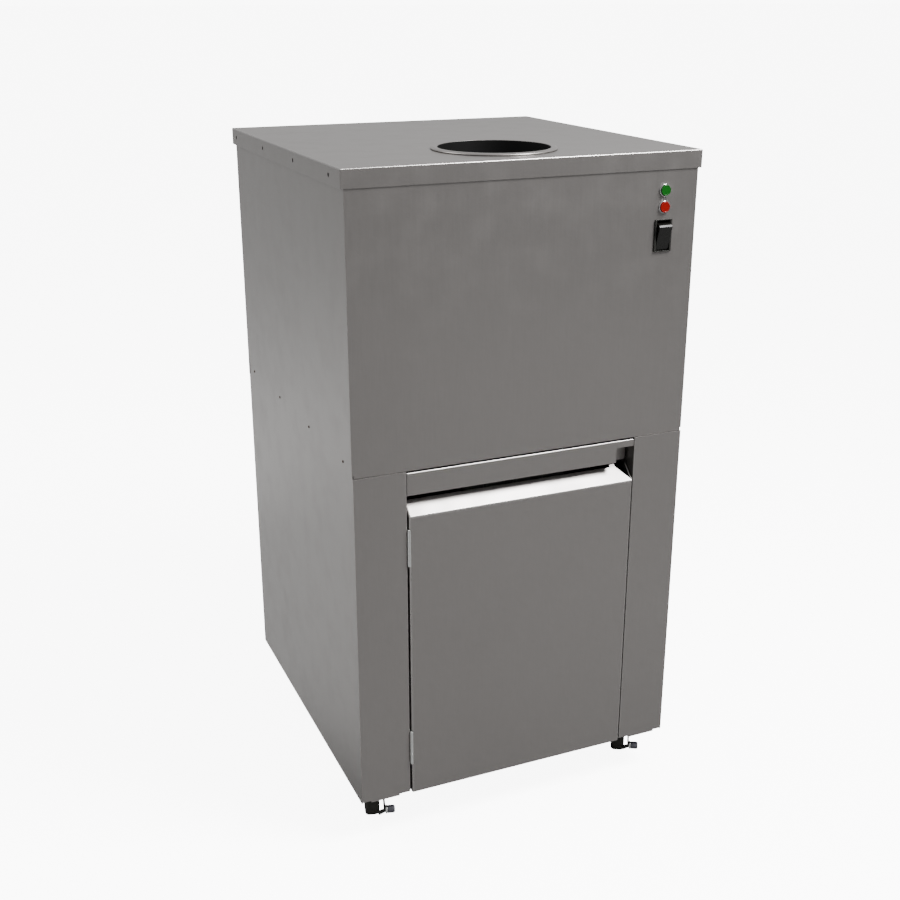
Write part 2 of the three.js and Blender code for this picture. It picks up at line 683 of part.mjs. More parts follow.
// Door: a folded pan whose top slopes back at 45 degrees as a pull ledge.
function doorSkin() {
  const face = -depthHalf;
  const slope = (y) => doorTop + (y - face);
  const shell = carried([[face, bodyBottom + SEAM], [doorBack, bodyBottom + SEAM],
    [doorBack, slope(doorBack)], [face, doorTop]], doorLeft, doorRight);
  const wall = SHEET;
  const rise = SHEET * Math.SQRT2;
  const inFace = face + wall;
  const past = doorBack + 10;
  const inside = carried([[inFace, bodyBottom + SEAM + wall], [past, bodyBottom + SEAM + wall],
    [past, slope(past) - rise], [inFace, slope(inFace) - rise]], doorLeft + wall, doorRight - wall);
  const ledgeEnd = face + LEDGE_DEPTH;
  const corner = doorRight - wall;
  const tabRight = corner - LEDGE_MITRE;
  const tabLeft = tabRight - LEDGE_TAB_WIDTH;
  const z0 = doorTop - 10;
  const z1 = slope(doorBack) + 10;
  const mitre = raised([[corner, inFace], [corner, past], [tabRight, past], [tabRight, ledgeEnd]], z0, z1);
  const behindLedge = box(doorLeft + wall, tabLeft, ledgeEnd, past, z0, z1);
  return cut(shell, inside, mitre, behindLedge);
}

function doorInnerPanel() {
  const wall = SHEET + GAP;
  return box(doorLeft + wall, doorRight - wall, doorBack - wall, doorBack - GAP,
    bodyBottom + SEAM + wall, doorTop - INNER_PANEL_DROP);
}

// Hinges: a leaf on the post wall, a leaf on the door wall, three knuckles and a pin.
const hingeX = (openingLeft + doorLeft) / 2;
const hingeY = -depthHalf - HINGE_PROUD;
const hingeCentres = { upper: doorTop - UPPER_HINGE_DROP, lower: bodyBottom + SEAM + LOWER_HINGE_RISE };
const knuckle = HINGE_LENGTH / 3;

function hingeLeaf(centre, x0, x1, bands) {
  const bottom = centre - HINGE_LENGTH / 2;
  const clear = HINGE_KNUCKLE_RADIUS + GAP;
  let leaf = box(x0, x1, hingeY + clear, hingeY + clear + HINGE_LEAF_DEPTH, bottom, bottom + HINGE_LENGTH);
  bands.forEach((band) => {
    const z0 = bottom + band * knuckle + (band > 0 ? GAP / 2 : 0);
    const z1 = bottom + (band + 1) * knuckle - (band < 2 ? GAP / 2 : 0);
    leaf = join(leaf, rod(HINGE_KNUCKLE_RADIUS, hingeX, hingeY, z0, z1, 20),
      box(x0, x1, hingeY, hingeY + clear + 1, z0, z1));
  });
  return cut(leaf, rod(HINGE_PIN_RADIUS + GAP, hingeX, hingeY, bottom - 1, bottom + HINGE_LENGTH + 1, 20));
}

function hingePin(centre) {
  return rod(HINGE_PIN_RADIUS, hingeX, hingeY, centre - HINGE_LENGTH / 2, centre + HINGE_LENGTH / 2, 20);
}

// Controls: the bezel is a flanged cup, the button slides in it.
function buttonBezel(z) {
  const bore = BUTTON_RADIUS + BUTTON_CLEARANCE;
  const barrel = bore + BEZEL_WALL;
  const seat = -upperFace - GAP;
  const flange = rodAlongY(BEZEL_RADIUS, controlX, z, seat - BEZEL_PROUD, seat);
  const cup = rodAlongY(barrel, controlX, z, seat - 1, seat + BEZEL_DEPTH);
  const inside = rodAlongY(bore, controlX, z, seat - BEZEL_PROUD - 1, seat + BEZEL_DEPTH - BEZEL_FLOOR);
  return cut(join(flange, cup), inside);
}

function button(z) {
  const front = -upperFace - BUTTON_PROUD;
  return rodAlongY(BUTTON_RADIUS, controlX, z, front, front + BUTTON_DEPTH + BUTTON_TRAVEL);
}

const rockerPivotY = -upperFace + ROCKER_PIVOT_DEPTH;
const rockerPivotZ = rockerZ + ROCKER_PIVOT_RISE;

function rockerFrame() {
  const seat = -upperFace - GAP;
  const halfWidth = ROCKER_FRAME_WIDTH / 2;
  const halfHeight = ROCKER_FRAME_HEIGHT / 2;
  const [sideLip, endLip] = ROCKER_FLANGE;
  const block = (x, y0, y1, z) => box(controlX - x, controlX + x, y0, y1, rockerZ - z, rockerZ + z);
  const plate = block(halfWidth, seat - ROCKER_FRAME_PROUD, seat, halfHeight);
  const body = block(halfWidth - sideLip, seat - 1, seat + ROCKER_FRAME_DEPTH, halfHeight - endLip);
  const window = block(ROCKER_WIDTH / 2 + ROCKER_CLEARANCE, seat - ROCKER_FRAME_PROUD - 1,
    seat + ROCKER_FRAME_DEPTH - ROCKER_FRAME_FLOOR, halfHeight - 2 * endLip);
  return cut(join(plate, body), window);
}

function rocker() {
  const half = ROCKER_LENGTH / 2;
  const section = [[-ROCKER_FRONT, -half], [ROCKER_BACK, -half], [ROCKER_BACK, half],
    [ROCKER_BEVEL - ROCKER_FRONT, half], [-ROCKER_FRONT, half - ROCKER_BEVEL]];
  const paddle = carried(section, controlX - ROCKER_WIDTH / 2, controlX + ROCKER_WIDTH / 2);
  return paddle.rotateX(THREE.MathUtils.degToRad(ROCKER_TILT)).translate(0, rockerPivotY, rockerPivotZ);
}

// Casters, drawn about their swivel axis with the wheel trailing to the front.
const crownTop = bodyBottom - CROWN_DROP;
const forkInside = WHEEL_WIDTH / 2 + FORK_CLEARANCE;
const forkOutside = forkInside + FORK_PLATE;

function casterFork() {
  const head = rod(FORK_HEAD_RADIUS, 0, 0, crownTop - 1, bodyBottom + BASE_RISE - CASTER_PLATE - GAP, 24);
  const crown = box(-forkOutside, forkOutside, -CROWN_FRONT, CROWN_REAR, crownTop - CROWN_THICKNESS, crownTop);
  const toe = WHEEL_RADIUS - AXLE_RADIUS - 5;
  const nose = LEVER_PIVOT[0] - 6;
  const side = [[-CASTER_TRAIL - 10, toe], [-CASTER_TRAIL + 8, toe], [CROWN_REAR - 2, crownTop - 6],
    [CROWN_REAR, crownTop], [nose, crownTop], [nose, crownTop - 14], [nose + 14, WHEEL_RADIUS + 10]];
  const leg = (x0, x1) => carried(side, x0, x1);
  const axleEnd = forkOutside + AXLE_PROUD;
  const axle = rodAlongX(AXLE_RADIUS, -CASTER_TRAIL, WHEEL_RADIUS, -axleEnd, axleEnd, 20);
  return join(head, crown, leg(-forkOutside, -forkInside), leg(forkInside, forkOutside), axle);
}

function casterWheel() {
  const half = WHEEL_WIDTH / 2;
  const bore = AXLE_RADIUS + RUNNING;
  const face = half + HUB_PROUD;
  const shoulder = WHEEL_RADIUS - TREAD_SHOULDER;
  const edge = half - TREAD_SHOULDER;
  const profile = [[bore, -face], [HUB_RADIUS, -face], [HUB_RADIUS, -half], [shoulder, -half],
    [WHEEL_RADIUS, -edge], [WHEEL_RADIUS, edge], [shoulder, half],
    [HUB_RADIUS, half], [HUB_RADIUS, face], [bore, face]];
  const ring = turned(profile, 0, 0, 32);
  return ring.rotateY(Math.PI / 2).translate(0, -CASTER_TRAIL, WHEEL_RADIUS);
}

// Brake lever: it turns on the outside of the right-hand leg and ends in a round toe knob.
function brakeLever() {
  const x0 = forkOutside + GAP;
  const x1 = x0 + LEVER_THICKNESS;
  const [py, pz] = LEVER_PIVOT;
  const [ey, ez] = LEVER_END;
  const arm = carried([[py - 3, pz - 5], [py + 5, pz - 4], [py + 5, pz + 5], [py - 4, pz + 5],
    [ey - 3, ez + 5], [ey - 3, ez - 5], [ey + 3, ez - 4]], x0, x1);
  return join(arm, rodAlongX(KNOB_RADIUS, ey, ez, x0, x0 + KNOB_LENGTH, 24));
}

const frontY = -depthHalf + CASTER_FRONT;
const rearY = depthHalf - CASTER_REAR;
const casters = [
  { name: 'front_left', x: -lowerHalf + FRONT_LEFT_INSET, y: frontY, angle: -15, brake: true },
  { name: 'front_right', x: lowerHalf - FRONT_RIGHT_INSET, y: frontY, angle: -30, brake: true },
  { name: 'rear_left', x: -lowerHalf + REAR_INSET, y: rearY, angle: 0, brake: false },
  { name: 'rear_right', x: lowerHalf - REAR_INSET, y: rearY, angle: 0, brake: false },
];

function addCaster({ name, x, y, angle, brake }) {
  const swivel = new THREE.Group();
  swivel.position.set(x, y, 0);
  swivel.rotation.z = THREE.MathUtils.degToRad(angle);
  compactor.add(swivel);
  add(`${name}_caster_fork`, casterFork(), ZINC, swivel);
  add(`${name}_wheel`, casterWheel(), TREAD, swivel);
  if (brake) add(`${name}_brake_lever`, brakeLever(), BLACK_PLASTIC, swivel);
}

// Cabinet
add('top_cover', topCover(), CABINET_STEEL);
add('chute', chute(), CHUTE_BLACK);
add('upper_front_panel', upperFrontPanel(), CABINET_STEEL);
add('upper_left_panel', upperSidePanel(-1), CABINET_STEEL);
add('upper_right_panel', upperSidePanel(1), CABINET_STEEL);
add('upper_back_panel', upperBackPanel(), CABINET_STEEL);
add('lower_left_panel', lowerSidePanel(-1), CABINET_STEEL);
add('lower_right_panel', lowerSidePanel(1), CABINET_STEEL);
add('lower_back_panel', lowerBackPanel(), CABINET_STEEL);
add('left_front_post', frontPost(-1), CABINET_STEEL);
add('right_front_post', frontPost(1), CABINET_STEEL);
add('header_rail', headerRail(), CABINET_STEEL);
add('door_catch', doorCatch(), ZINC);
add('interlock_switch', interlockSwitch(), BLACK_PLASTIC);
add('base_pan', basePan(), ZINC);
add('deck_plate', deckPlate(), ZINC);
add('bridge_plate', bridgePlate(), ZINC);
add('left_guide_rod', guideRod(-1), CHROME);
add('right_guide_rod', guideRod(1), CHROME);
add('bin', bin(), BIN_PLASTIC);
add('gearbox', gearbox(), MOTOR_PAINT);
add('motor', motor(), MOTOR_PAINT);
add('drive_chain', driveChain(), DARK_STEEL);
add('upper_bearing', upperBearing(), DARK_STEEL);
add('control_box', controlBox(), ZINC);
add('power_inlet', powerInlet(), BLACK_PLASTIC);

// Controls
add('green_button_bezel', buttonBezel(greenZ), CHROME);
add('red_button_bezel', buttonBezel(greenZ - BUTTON_SPACING), CHROME);
add('green_button', button(greenZ), GREEN_LENS);
add('red_button', button(greenZ - BUTTON_SPACING), RED_LENS);
add('rocker_frame', rockerFrame(), BLACK_PLASTIC);
add('rocker_switch', rocker(), BLACK_PLASTIC);

// Door and hinges
add('door_skin', doorSkin(), CABINET_STEEL);
add('door_inner_panel', doorInnerPanel(), ZINC);
const frameLeafX = openingLeft + GAP;
const doorLeafX = doorLeft - GAP;
for (const [place, centre] of Object.entries(hingeCentres)) {
  add(`${place}_hinge_frame_leaf`, hingeLeaf(centre, frameLeafX, frameLeafX + HINGE_LEAF, [0, 2]), ZINC);
  add(`${place}_hinge_door_leaf`, hingeLeaf(centre, doorLeafX - HINGE_LEAF, doorLeafX, [1]), ZINC);
  add(`${place}_hinge_pin`, hingePin(centre), ZINC);
}

// Ram and drive
add('ram_platen', ramPlaten(), DARK_STEEL);
add('ram_skirt', ramSkirt(), ZINC);
add('ram_sleeve', ramSleeve(), CHUTE_BLACK);
add('ram_crosshead', ramCrosshead(), DARK_STEEL);
add('screw_nut', screwNut(), ZINC);
add('front_trap_flap', trapFlap(-1), DARK_STEEL);
add('rear_trap_flap', trapFlap(1), DARK_STEEL);
add('lead_screw', leadScrew(), ZINC);
add('screw_sprocket', screwSprocket(), DARK_STEEL);
add('drive_sprocket', driveSprocket(), DARK_STEEL);

casters.forEach(addCaster);

// The model stands on the floor with the middle of its footprint over the origin.
const reach = new THREE.Box3().setFromObject(compactor);
const middle = reach.getCenter(new THREE.Vector3());
compactor.position.set(-middle.x, -middle.y, 0);

export default compactor;
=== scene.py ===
"""Trash compactor: a folded sheet-metal cabinet with a chute, a bin door, a screw-driven ram and casters.

Shapes are worked out in millimetres in the frame's own axes, and piece() turns them into metres.
X runs to the right, Y to the back and Z up from the floor.
"""

import json
import math

import bmesh
import bpy
from mathutils import Matrix, Vector


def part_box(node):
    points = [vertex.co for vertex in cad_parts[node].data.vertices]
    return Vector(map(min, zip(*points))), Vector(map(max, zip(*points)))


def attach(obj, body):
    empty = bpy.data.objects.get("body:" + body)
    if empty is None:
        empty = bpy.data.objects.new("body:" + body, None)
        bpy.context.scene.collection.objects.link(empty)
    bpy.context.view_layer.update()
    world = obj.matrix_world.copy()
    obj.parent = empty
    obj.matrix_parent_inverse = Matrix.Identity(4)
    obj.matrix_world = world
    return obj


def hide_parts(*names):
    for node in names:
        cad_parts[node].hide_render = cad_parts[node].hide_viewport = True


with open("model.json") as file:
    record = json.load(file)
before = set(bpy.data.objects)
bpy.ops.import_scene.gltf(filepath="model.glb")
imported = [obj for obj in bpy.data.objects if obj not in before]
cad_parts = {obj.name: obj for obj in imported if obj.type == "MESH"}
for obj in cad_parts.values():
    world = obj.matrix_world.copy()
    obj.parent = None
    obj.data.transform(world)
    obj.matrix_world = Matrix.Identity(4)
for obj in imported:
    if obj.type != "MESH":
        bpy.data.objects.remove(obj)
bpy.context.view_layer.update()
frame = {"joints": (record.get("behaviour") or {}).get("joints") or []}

MILLIMETRE = 0.001
LEFT, RIGHT = Vector((-1, 0, 0)), Vector((1, 0, 0))
FRONT, BACK = Vector((0, -1, 0)), Vector((0, 1, 0))
DOWN, UP = Vector((0, 0, -1)), Vector((0, 0, 1))

# Sheet metal
SHEET = 1.5
BEND = 2.0
CUT_EDGE = 0.2
CORNER_NOTCH = (3, 5)
SEAM_SCREWS_Y = (-264.6, -82.4, 97.2, 276.8)
SEAM_SCREW_Z = 692.6
SEAM_SCREW_RADIUS = 2.4
COVER_HOLE_RADIUS = 3.5
COVER_HOLE_DROP = 14.7
COVER_HOLES = 4
COVER_HOLE_FRONT = 52.2
COVER_HOLE_REAR = 32.3

# Chute
CHUTE_RADIUS = 90
CHUTE_WALL = 1.2
RIM_HEIGHT = 3.7

# Door opening
POST_DEPTH = 40
POST_LIP = 14
DOOR_GAP = 1.7
POST_RELIEF = 3
POST_FOOT = (20, 17)
NOTCH_WIDTH = 34
NOTCH_HEIGHT = 27
LEDGE_DEPTH = 21.5
LEDGE_MITRE = 20
LEDGE_TAB_WIDTH = 10

# Hinges
HINGE_LEAF = 1.2
KNUCKLE_RADIUS = 2.7
PIN_RADIUS = 1.3
HINGE_SCREW_RADIUS = 2.4

joints = {joint["name"]: joint for joint in frame["joints"]}


def span(node):
    """Lowest and highest corner of a CAD node, in millimetres."""
    low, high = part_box(node)
    return low / MILLIMETRE, high / MILLIMETRE


def middle(node):
    low, high = span(node)
    return (low + high) / 2


chute_low, chute_high = span("chute")
chute_axis = middle("chute")
screw_axis = middle("lead_screw")
motor_axis = middle("motor")


# ---------------------------------------------------------------- shapes

def wear_layer(bm):
    return bm.faces.layers.float.get("edge_wear") or bm.faces.layers.float.new("edge_wear")


def block(low, high):
    low, high = Vector(low), Vector(high)
    bm = bmesh.new()
    bmesh.ops.create_cube(bm, size=1)
    bmesh.ops.scale(bm, vec=high - low, verts=bm.verts)
    bmesh.ops.translate(bm, vec=(low + high) / 2, verts=bm.verts)
    return bm


def placed(bm, origin, direction=UP, turn=0.0):
    """Turns a shape drawn about +Z so that it points along direction, then moves it to origin."""
    aim = UP.rotation_difference(Vector(direction)).to_matrix().to_4x4()
    spin = Matrix.Rotation(turn, 4, "Z")
    bmesh.ops.transform(bm, matrix=Matrix.Translation(Vector(origin)) @ aim @ spin, verts=bm.verts)
    return bm


def laid(bm, across, up, origin):
    """Puts a shape drawn in X and Y on the plane of two directions, its thickness along their cross product."""
    across, up = Vector(across), Vector(up)
    turn = Matrix((across, up, across.cross(up))).transposed().to_4x4()
    bmesh.ops.transform(bm, matrix=Matrix.Translation(Vector(origin)) @ turn, verts=bm.verts)
    return bm


def bar(radius, start, end, sides=32, end_radius=None):
    start, end = Vector(start), Vector(end)
    bm = bmesh.new()
    bmesh.ops.create_cone(bm, cap_ends=True, cap_tris=False, segments=sides, radius1=radius,
                          radius2=radius if end_radius is None else end_radius, depth=(end - start).length)
    return placed(bm, (start + end) / 2, end - start)


def circle(radius, centre=(0, 0), sides=32):
    turns = [2 * math.pi * step / sides for step in range(sides)]
    return [(centre[0] + radius * math.cos(a), centre[1] + radius * math.sin(a)) for a in turns]


def rectangle(x0, x1, y0, y1):
    return [(x0, y0), (x1, y0), (x1, y1), (x0, y1)]


def softened(points, radius, steps=3):
    """A closed outline with its corners rounded, except those on the spin axis."""
    corners = [Vector(p) for p in points]
    result = []
    for i, corner in enumerate(corners):
        back = corners[i - 1] - corner
        ahead = corners[(i + 1) % len(corners)] - corner
        reach = min(radius, back.length * 0.45, ahead.length * 0.45)
        if corner.x == 0:
            result.append(corner)
            continue
        start, end = corner + back.normalized() * reach, corner + ahead.normalized() * reach
        for step in range(steps + 1):
            t = step / steps
            result.append(start * (1 - t) ** 2 + corner * (2 * t * (1 - t)) + end * t * t)
    return result


def loop_edges(bm, points):
    verts = [bm.verts.new(p) for p in points]
    return [bm.edges.new(pair) for pair in zip(verts, verts[1:] + verts[:1])]


def plate(thickness, outline, *holes):
    """A flat plate drawn in X and Y, with its holes, rising from 0 to its thickness."""
    bm = bmesh.new()
    edges = []
    for points in (outline, *holes):
        edges += loop_edges(bm, [(p[0], p[1], 0) for p in points])
    bmesh.ops.triangle_fill(bm, use_beauty=True, use_dissolve=False, edges=edges, normal=UP)
    raised = bmesh.ops.extrude_face_region(bm, geom=bm.faces[:])["geom"]
    bmesh.ops.translate(bm, vec=UP * thickness, verts=[v for v in raised if isinstance(v, bmesh.types.BMVert)])
    bmesh.ops.recalc_face_normals(bm, faces=bm.faces)
    return bm


def spun(profile, sides=48):
    """A profile of radius and height, turned about Z. It closes on itself or starts and ends on the axis."""
    bm = bmesh.new()
    verts = [bm.verts.new((p[0], 0, p[1])) for p in profile]
    pairs = list(zip(verts, verts[1:]))
    if profile[0][0] or profile[-1][0]:
        pairs.append((verts[-1], verts[0]))
    edges = [bm.edges.new(pair) for pair in pairs]
    bmesh.ops.spin(bm, geom=verts + edges, cent=(0, 0, 0), axis=UP, angle=2 * math.pi, steps=sides,
                   use_merge=True)
    bmesh.ops.remove_doubles(bm, verts=bm.verts, dist=1e-4)
    bmesh.ops.recalc_face_normals(bm, faces=bm.faces)
    return bm


def strip(path, along):
    """An open strip of sheet: a path of points carried along a direction."""
    bm = bmesh.new()
    verts = [bm.verts.new(p) for p in path]
    edges = [bm.edges.new(pair) for pair in zip(verts, verts[1:])]
    carried = bmesh.ops.extrude_edge_only(bm, edges=edges)["geom"]
    bmesh.ops.translate(bm, vec=along, verts=[v for v in carried if isinstance(v, bmesh.types.BMVert)])
    return bm


def sharp_edges(bm, degrees):
    return [e for e in bm.edges if len(e.link_faces) == 2 and e.calc_face_angle(0) > math.radians(degrees)]


def rounded(bm, radius, segments, degrees):
    wear = wear_layer(bm)
    made = bmesh.ops.bevel(bm, geom=sharp_edges(bm, degrees), offset=radius, segments=segments, profile=0.5,
                           affect="EDGES", material=-1, clamp_overlap=True)
    for face in made["faces"]:
        face[wear] = 1
    return bm


def bend(bm, radius=BEND):
    """Rounds the folds of an open sheet."""
    return rounded(bm, radius, 4, 20)


def ease(bm, width=CUT_EDGE, segments=2, degrees=50):
    """Takes the sharpness off the cut edges of a solid."""
    return rounded(bm, width, segments, degrees)


def size_of(bm):
    return [max(v.co[i] for v in bm.verts) - min(v.co[i] for v in bm.verts) for i in range(3)]


def thicken(bm, thickness=SHEET):
    """Gives an open folded sheet its thickness on the inside of its folds."""
    bmesh.ops.remove_doubles(bm, verts=bm.verts, dist=1e-4)
    bmesh.ops.recalc_face_normals(bm, faces=bm.faces)
    trial = bm.copy()
    bmesh.ops.solidify(trial, geom=trial.faces[:], thickness=thickness)
    grew = any(a > b + thickness / 2 for a, b in zip(size_of(trial), size_of(bm)))
    trial.free()
    if grew:
        bmesh.ops.reverse_faces(bm, faces=bm.faces)
    bmesh.ops.solidify(bm, geom=bm.faces[:], thickness=thickness)
    bmesh.ops.recalc_face_normals(bm, faces=bm.faces)
    return bm


def without_faces(bm, direction):
    gone = [f for f in bm.faces if f.normal.dot(Vector(direction)) > 0.99]
    bmesh.ops.delete(bm, geom=gone, context="FACES")
    return bm


def cut_away(bm, cuts, unwanted):
    """Splits a sheet along planes and takes out the faces whose middle is unwanted."""
    for point, normal in cuts:
        everything = bm.verts[:] + bm.edges[:] + bm.faces[:]
        bmesh.ops.bisect_plane(bm, geom=everything, dist=1e-4, plane_co=point, plane_no=normal)
    gone = [f for f in bm.faces if unwanted(f.calc_center_median())]
    bmesh.ops.delete(bm, geom=gone, context="FACES")
    return bm


def pierce(bm, direction, *loops):
    """Cuts holes, given as loops of points, through the largest face that looks along direction."""
    bmesh.ops.recalc_face_normals(bm, faces=bm.faces)
    facing = [f for f in bm.faces if f.normal.dot(Vector(direction)) > 0.99]
    face = max(facing, key=lambda f: f.calc_area())
    edges = face.edges[:]
    bmesh.ops.delete(bm, geom=[face], context="FACES_ONLY")
    for points in loops:
        edges += loop_edges(bm, points)
    bmesh.ops.triangle_fill(bm, use_beauty=True, use_dissolve=False, edges=edges, normal=direction)
    return bm


def together(*parts):
    whole = bmesh.new()
    for part in parts:
        step = bpy.data.meshes.new("step")
        part.to_mesh(step)
        part.free()
        whole.from_mesh(step)
        bpy.data.meshes.remove(step)
    return whole


def moved(bm, matrix):
    bmesh.ops.transform(bm, matrix=matrix, verts=bm.verts)
    return bm


def button_screw(radius, height):
    """A low round head with a socket, standing on Z = 0."""
    socket = radius * 0.45
    profile = [(0, height * 0.45), (socket, height * 0.45), (socket, height), (radius * 0.7, height * 0.92),
               (radius * 0.95, height * 0.5), (radius, 0), (0, 0)]
    return spun(profile, 16)


def hex_bolt(radius, height):
    """A hexagon head with a washer under it, standing on Z = 0."""
    washer = spun(softened([(0, 0), (radius * 1.35, 0), (radius * 1.35, height * 0.25), (0, height * 0.25)],
                           height * 0.08), 24)
    head = ease(bar(radius, (0, 0, height * 0.25), (0, 0, height), 6), height * 0.08)
    tip = ease(bar(radius * 0.55, (0, 0, height), (0, 0, height * 1.2), 16), height * 0.06)
    return together(washer, head, tip)


def piece(bm, name, finish, body, *nodes):
    """Makes the finished piece, which rides on a body and may stand for CAD nodes."""
    material, slot = finish
    bmesh.ops.remove_doubles(bm, verts=bm.verts, dist=1e-4)
    bmesh.ops.recalc_face_normals(bm, faces=bm.faces)
    bmesh.ops.scale(bm, vec=(MILLIMETRE,) * 3, verts=bm.verts)
    mesh = bpy.data.meshes.new(name)
    bm.to_mesh(mesh)
    bm.free()
    mesh.polygons.foreach_set("use_smooth", [True] * len(mesh.polygons))
    mesh.set_sharp_from_angle(angle=math.radians(38))
    mesh.materials.append(material)
    made = bpy.data.objects.new(name, mesh)
    bpy.context.scene.collection.objects.link(made)
    shading = made.modifiers.new("even_shading", "WEIGHTED_NORMAL")
    shading.keep_sharp = True
    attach(made, body)
    if nodes:
        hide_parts(*nodes)
    return made


# ---------------------------------------------------------------- finishes

class Wire:
    """A shader socket that can be added, multiplied and so on."""

    def __init__(self, tree, socket):
        self.tree = tree
        self.socket = socket

    def maths(self, operation, *values):
        node = self.tree.nodes.new("ShaderNodeMath")
        node.operation = operation
        for slot, value in zip(node.inputs, values):
            if isinstance(value, Wire):
                self.tree.links.new(value.socket, slot)
            else:
                slot.default_value = value
        return Wire(self.tree, node.outputs[0])

    def __add__(self, other):
        return self.maths("ADD", self, other)

    def __mul__(self, other):
        return self.maths("MULTIPLY", self, other)

    def __sub__(self, other):
        return self.maths("SUBTRACT", self, other)

    def __rsub__(self, other):
        return self.maths("SUBTRACT", other, self)

    def __pow__(self, other):
        return self.maths("POWER", self, other)

    __radd__ = __add__
    __rmul__ = __mul__


class Recipe:
    """One material being built."""

    def __init__(self, name):
        self.material = bpy.data.materials.new(name)
        self.material.use_nodes = True
        self.tree = self.material.node_tree
        self.shader = self.tree.nodes["Principled BSDF"]
        self.place = self.node("ShaderNodeTexCoord", {}, {}, "Object")

    def node(self, kind, settings, sockets, output=0):
        node = self.tree.nodes.new(kind)
        stops = settings.get("stops", ())
        for name, value in settings.items():
            if name != "stops":
                setattr(node, name, value)
        for element, (position, shade) in zip(node.color_ramp.elements if stops else (), stops):
            element.position = position
            element.color = (shade, shade, shade, 1)
        for name, value in sockets.items():
            if isinstance(value, Wire):
                self.tree.links.new(value.socket, node.inputs[name])
            else:
                node.inputs[name].default_value = value
        return Wire(self.tree, node.outputs[output])

    def noise(self, scale, stretch=(1, 1, 1), detail=3):
        """Noise from 0 to 1 in object space; scale is in features per metre."""
        vector = self.node("ShaderNodeMapping", {}, {"Vector": self.place, "Scale": stretch})
        return self.node("ShaderNodeTexNoise", {}, {"Vector": vector, "Scale": scale, "Detail": detail})

    def band(self, value, low, high):
        """0 below low, 1 above high."""
        return self.node("ShaderNodeValToRGB", {"stops": ((low, 0), (high, 1))}, {"Fac": value})

    def wear(self):
        return self.node("ShaderNodeAttribute", {"attribute_name": "edge_wear"}, {}, "Fac")

    def blend(self, first, second, share):
        """A colour between two others."""
        sockets = {0: share, 6: first, 7: second}
        return self.node("ShaderNodeMix", {"data_type": "RGBA"}, sockets, 2)

    def set(self, **sockets):
        """Sets the shader's sockets; an underscore stands for a space."""
        for name, value in sockets.items():
            slot = self.shader.inputs[name.replace("_", " ")]
            if isinstance(value, Wire):
                self.tree.links.new(value.socket, slot)
            else:
                slot.default_value = value

    def bump(self, height, distance, strength=1.0):
        sockets = {"Height": height, "Distance": distance, "Strength": strength}
        self.set(Normal=self.node("ShaderNodeBump", {}, sockets))


def rgb(red, green, blue):
    """A colour given as it looks on a screen, from 0 to 255."""
    linear = [((v / 255 + 0.055) / 1.055) ** 2.4 if v > 10 else v / 255 / 12.92 for v in (red, green, blue)]
    return (*linear, 1)


def metal(name, dark, light, bare, roughness, metallic, grain=(1, 1, 1), grain_scale=400, grain_depth=0.00002,
          wear=0.35, mottle=6, gloss=0.5):
    """Metal with a fine grain, a slow cloud of tone, smudges and brighter edges."""
    recipe = Recipe(name)
    fine = recipe.noise(grain_scale, grain, 4)
    cloud = recipe.noise(mottle, detail=2)
    smudge = recipe.band(recipe.noise(19, detail=5), 0.45, 0.75)
    tone = recipe.blend(dark, light, fine * 0.55 + cloud * 0.45)
    recipe.set(Base_Color=recipe.blend(tone, bare, recipe.wear() * (wear * (0.4 + cloud))), Metallic=metallic,
               Roughness=fine * 0.08 + smudge * 0.05 + (roughness - 0.05) - recipe.wear() * 0.06,
               Specular_IOR_Level=gloss)
    recipe.bump(fine, grain_depth, 0.6)
    return recipe.material


def plastic(name, dark, light, roughness, texture_scale=900, texture_depth=0.00003, wear=0.2):
    """Moulded plastic or rubber with a spark-eroded texture, dust and paler edges."""
    recipe = Recipe(name)
    grain = recipe.noise(texture_scale, detail=3)
    dust = recipe.band(recipe.noise(35, detail=5), 0.4, 0.8)
    tone = recipe.blend(dark, light, grain * 0.4 + dust * 0.35 + recipe.wear() * wear)
    recipe.set(Base_Color=tone, Roughness=grain * 0.15 + dust * 0.1 + roughness - recipe.wear() * 0.08,
               Specular_IOR_Level=0.3)
    recipe.bump(grain, texture_depth, 0.7)
    return recipe.material


def lens(name, deep, bright):
    """Translucent coloured plastic: darker in its body, glossy, with fine polishing marks."""
    recipe = Recipe(name)
    body = recipe.noise(260, detail=2)
    marks = recipe.noise(2200, (1, 1, 0.2), 2)
    recipe.set(Base_Color=recipe.blend(deep, bright, body * 0.7 + recipe.wear() * 0.3),
               Roughness=marks * 0.12 + 0.25, Specular_IOR_Level=0.2)
    recipe.bump(marks, 0.000005, 0.5)
    return recipe.material


cabinet_steel = (metal("satin_cabinet_steel", rgb(119, 116, 114), rgb(128, 125, 123), rgb(168, 166, 164), 0.34, 0.85,
                       grain=(1, 1, 0.03), grain_scale=700, grain_depth=0.000012, mottle=3), "cabinet_steel")
zinc = (metal("bright_zinc_plate", rgb(165, 166, 166), rgb(192, 193, 190), rgb(225, 225, 222), 0.34, 0.9,
              grain_scale=160), "zinc_steel")
dark_steel = (metal("black_oxide_steel", rgb(46, 46, 48), rgb(66, 65, 66), rgb(130, 128, 126), 0.42, 0.8,
                    grain_scale=300), "dark_steel")
ram_steel = (metal("ram_plate_steel", rgb(96, 96, 95), rgb(124, 122, 119), rgb(176, 175, 172), 0.4, 0.85,
                   grain=(0.1, 1, 1), grain_scale=350, wear=0.6), "ram_steel")
bin_steel = (metal("galvanised_bin_steel", rgb(134, 137, 139), rgb(176, 178, 178), rgb(205, 206, 206), 0.45, 0.85,
                   grain_scale=45, wear=0.5, mottle=14), "bin_steel")
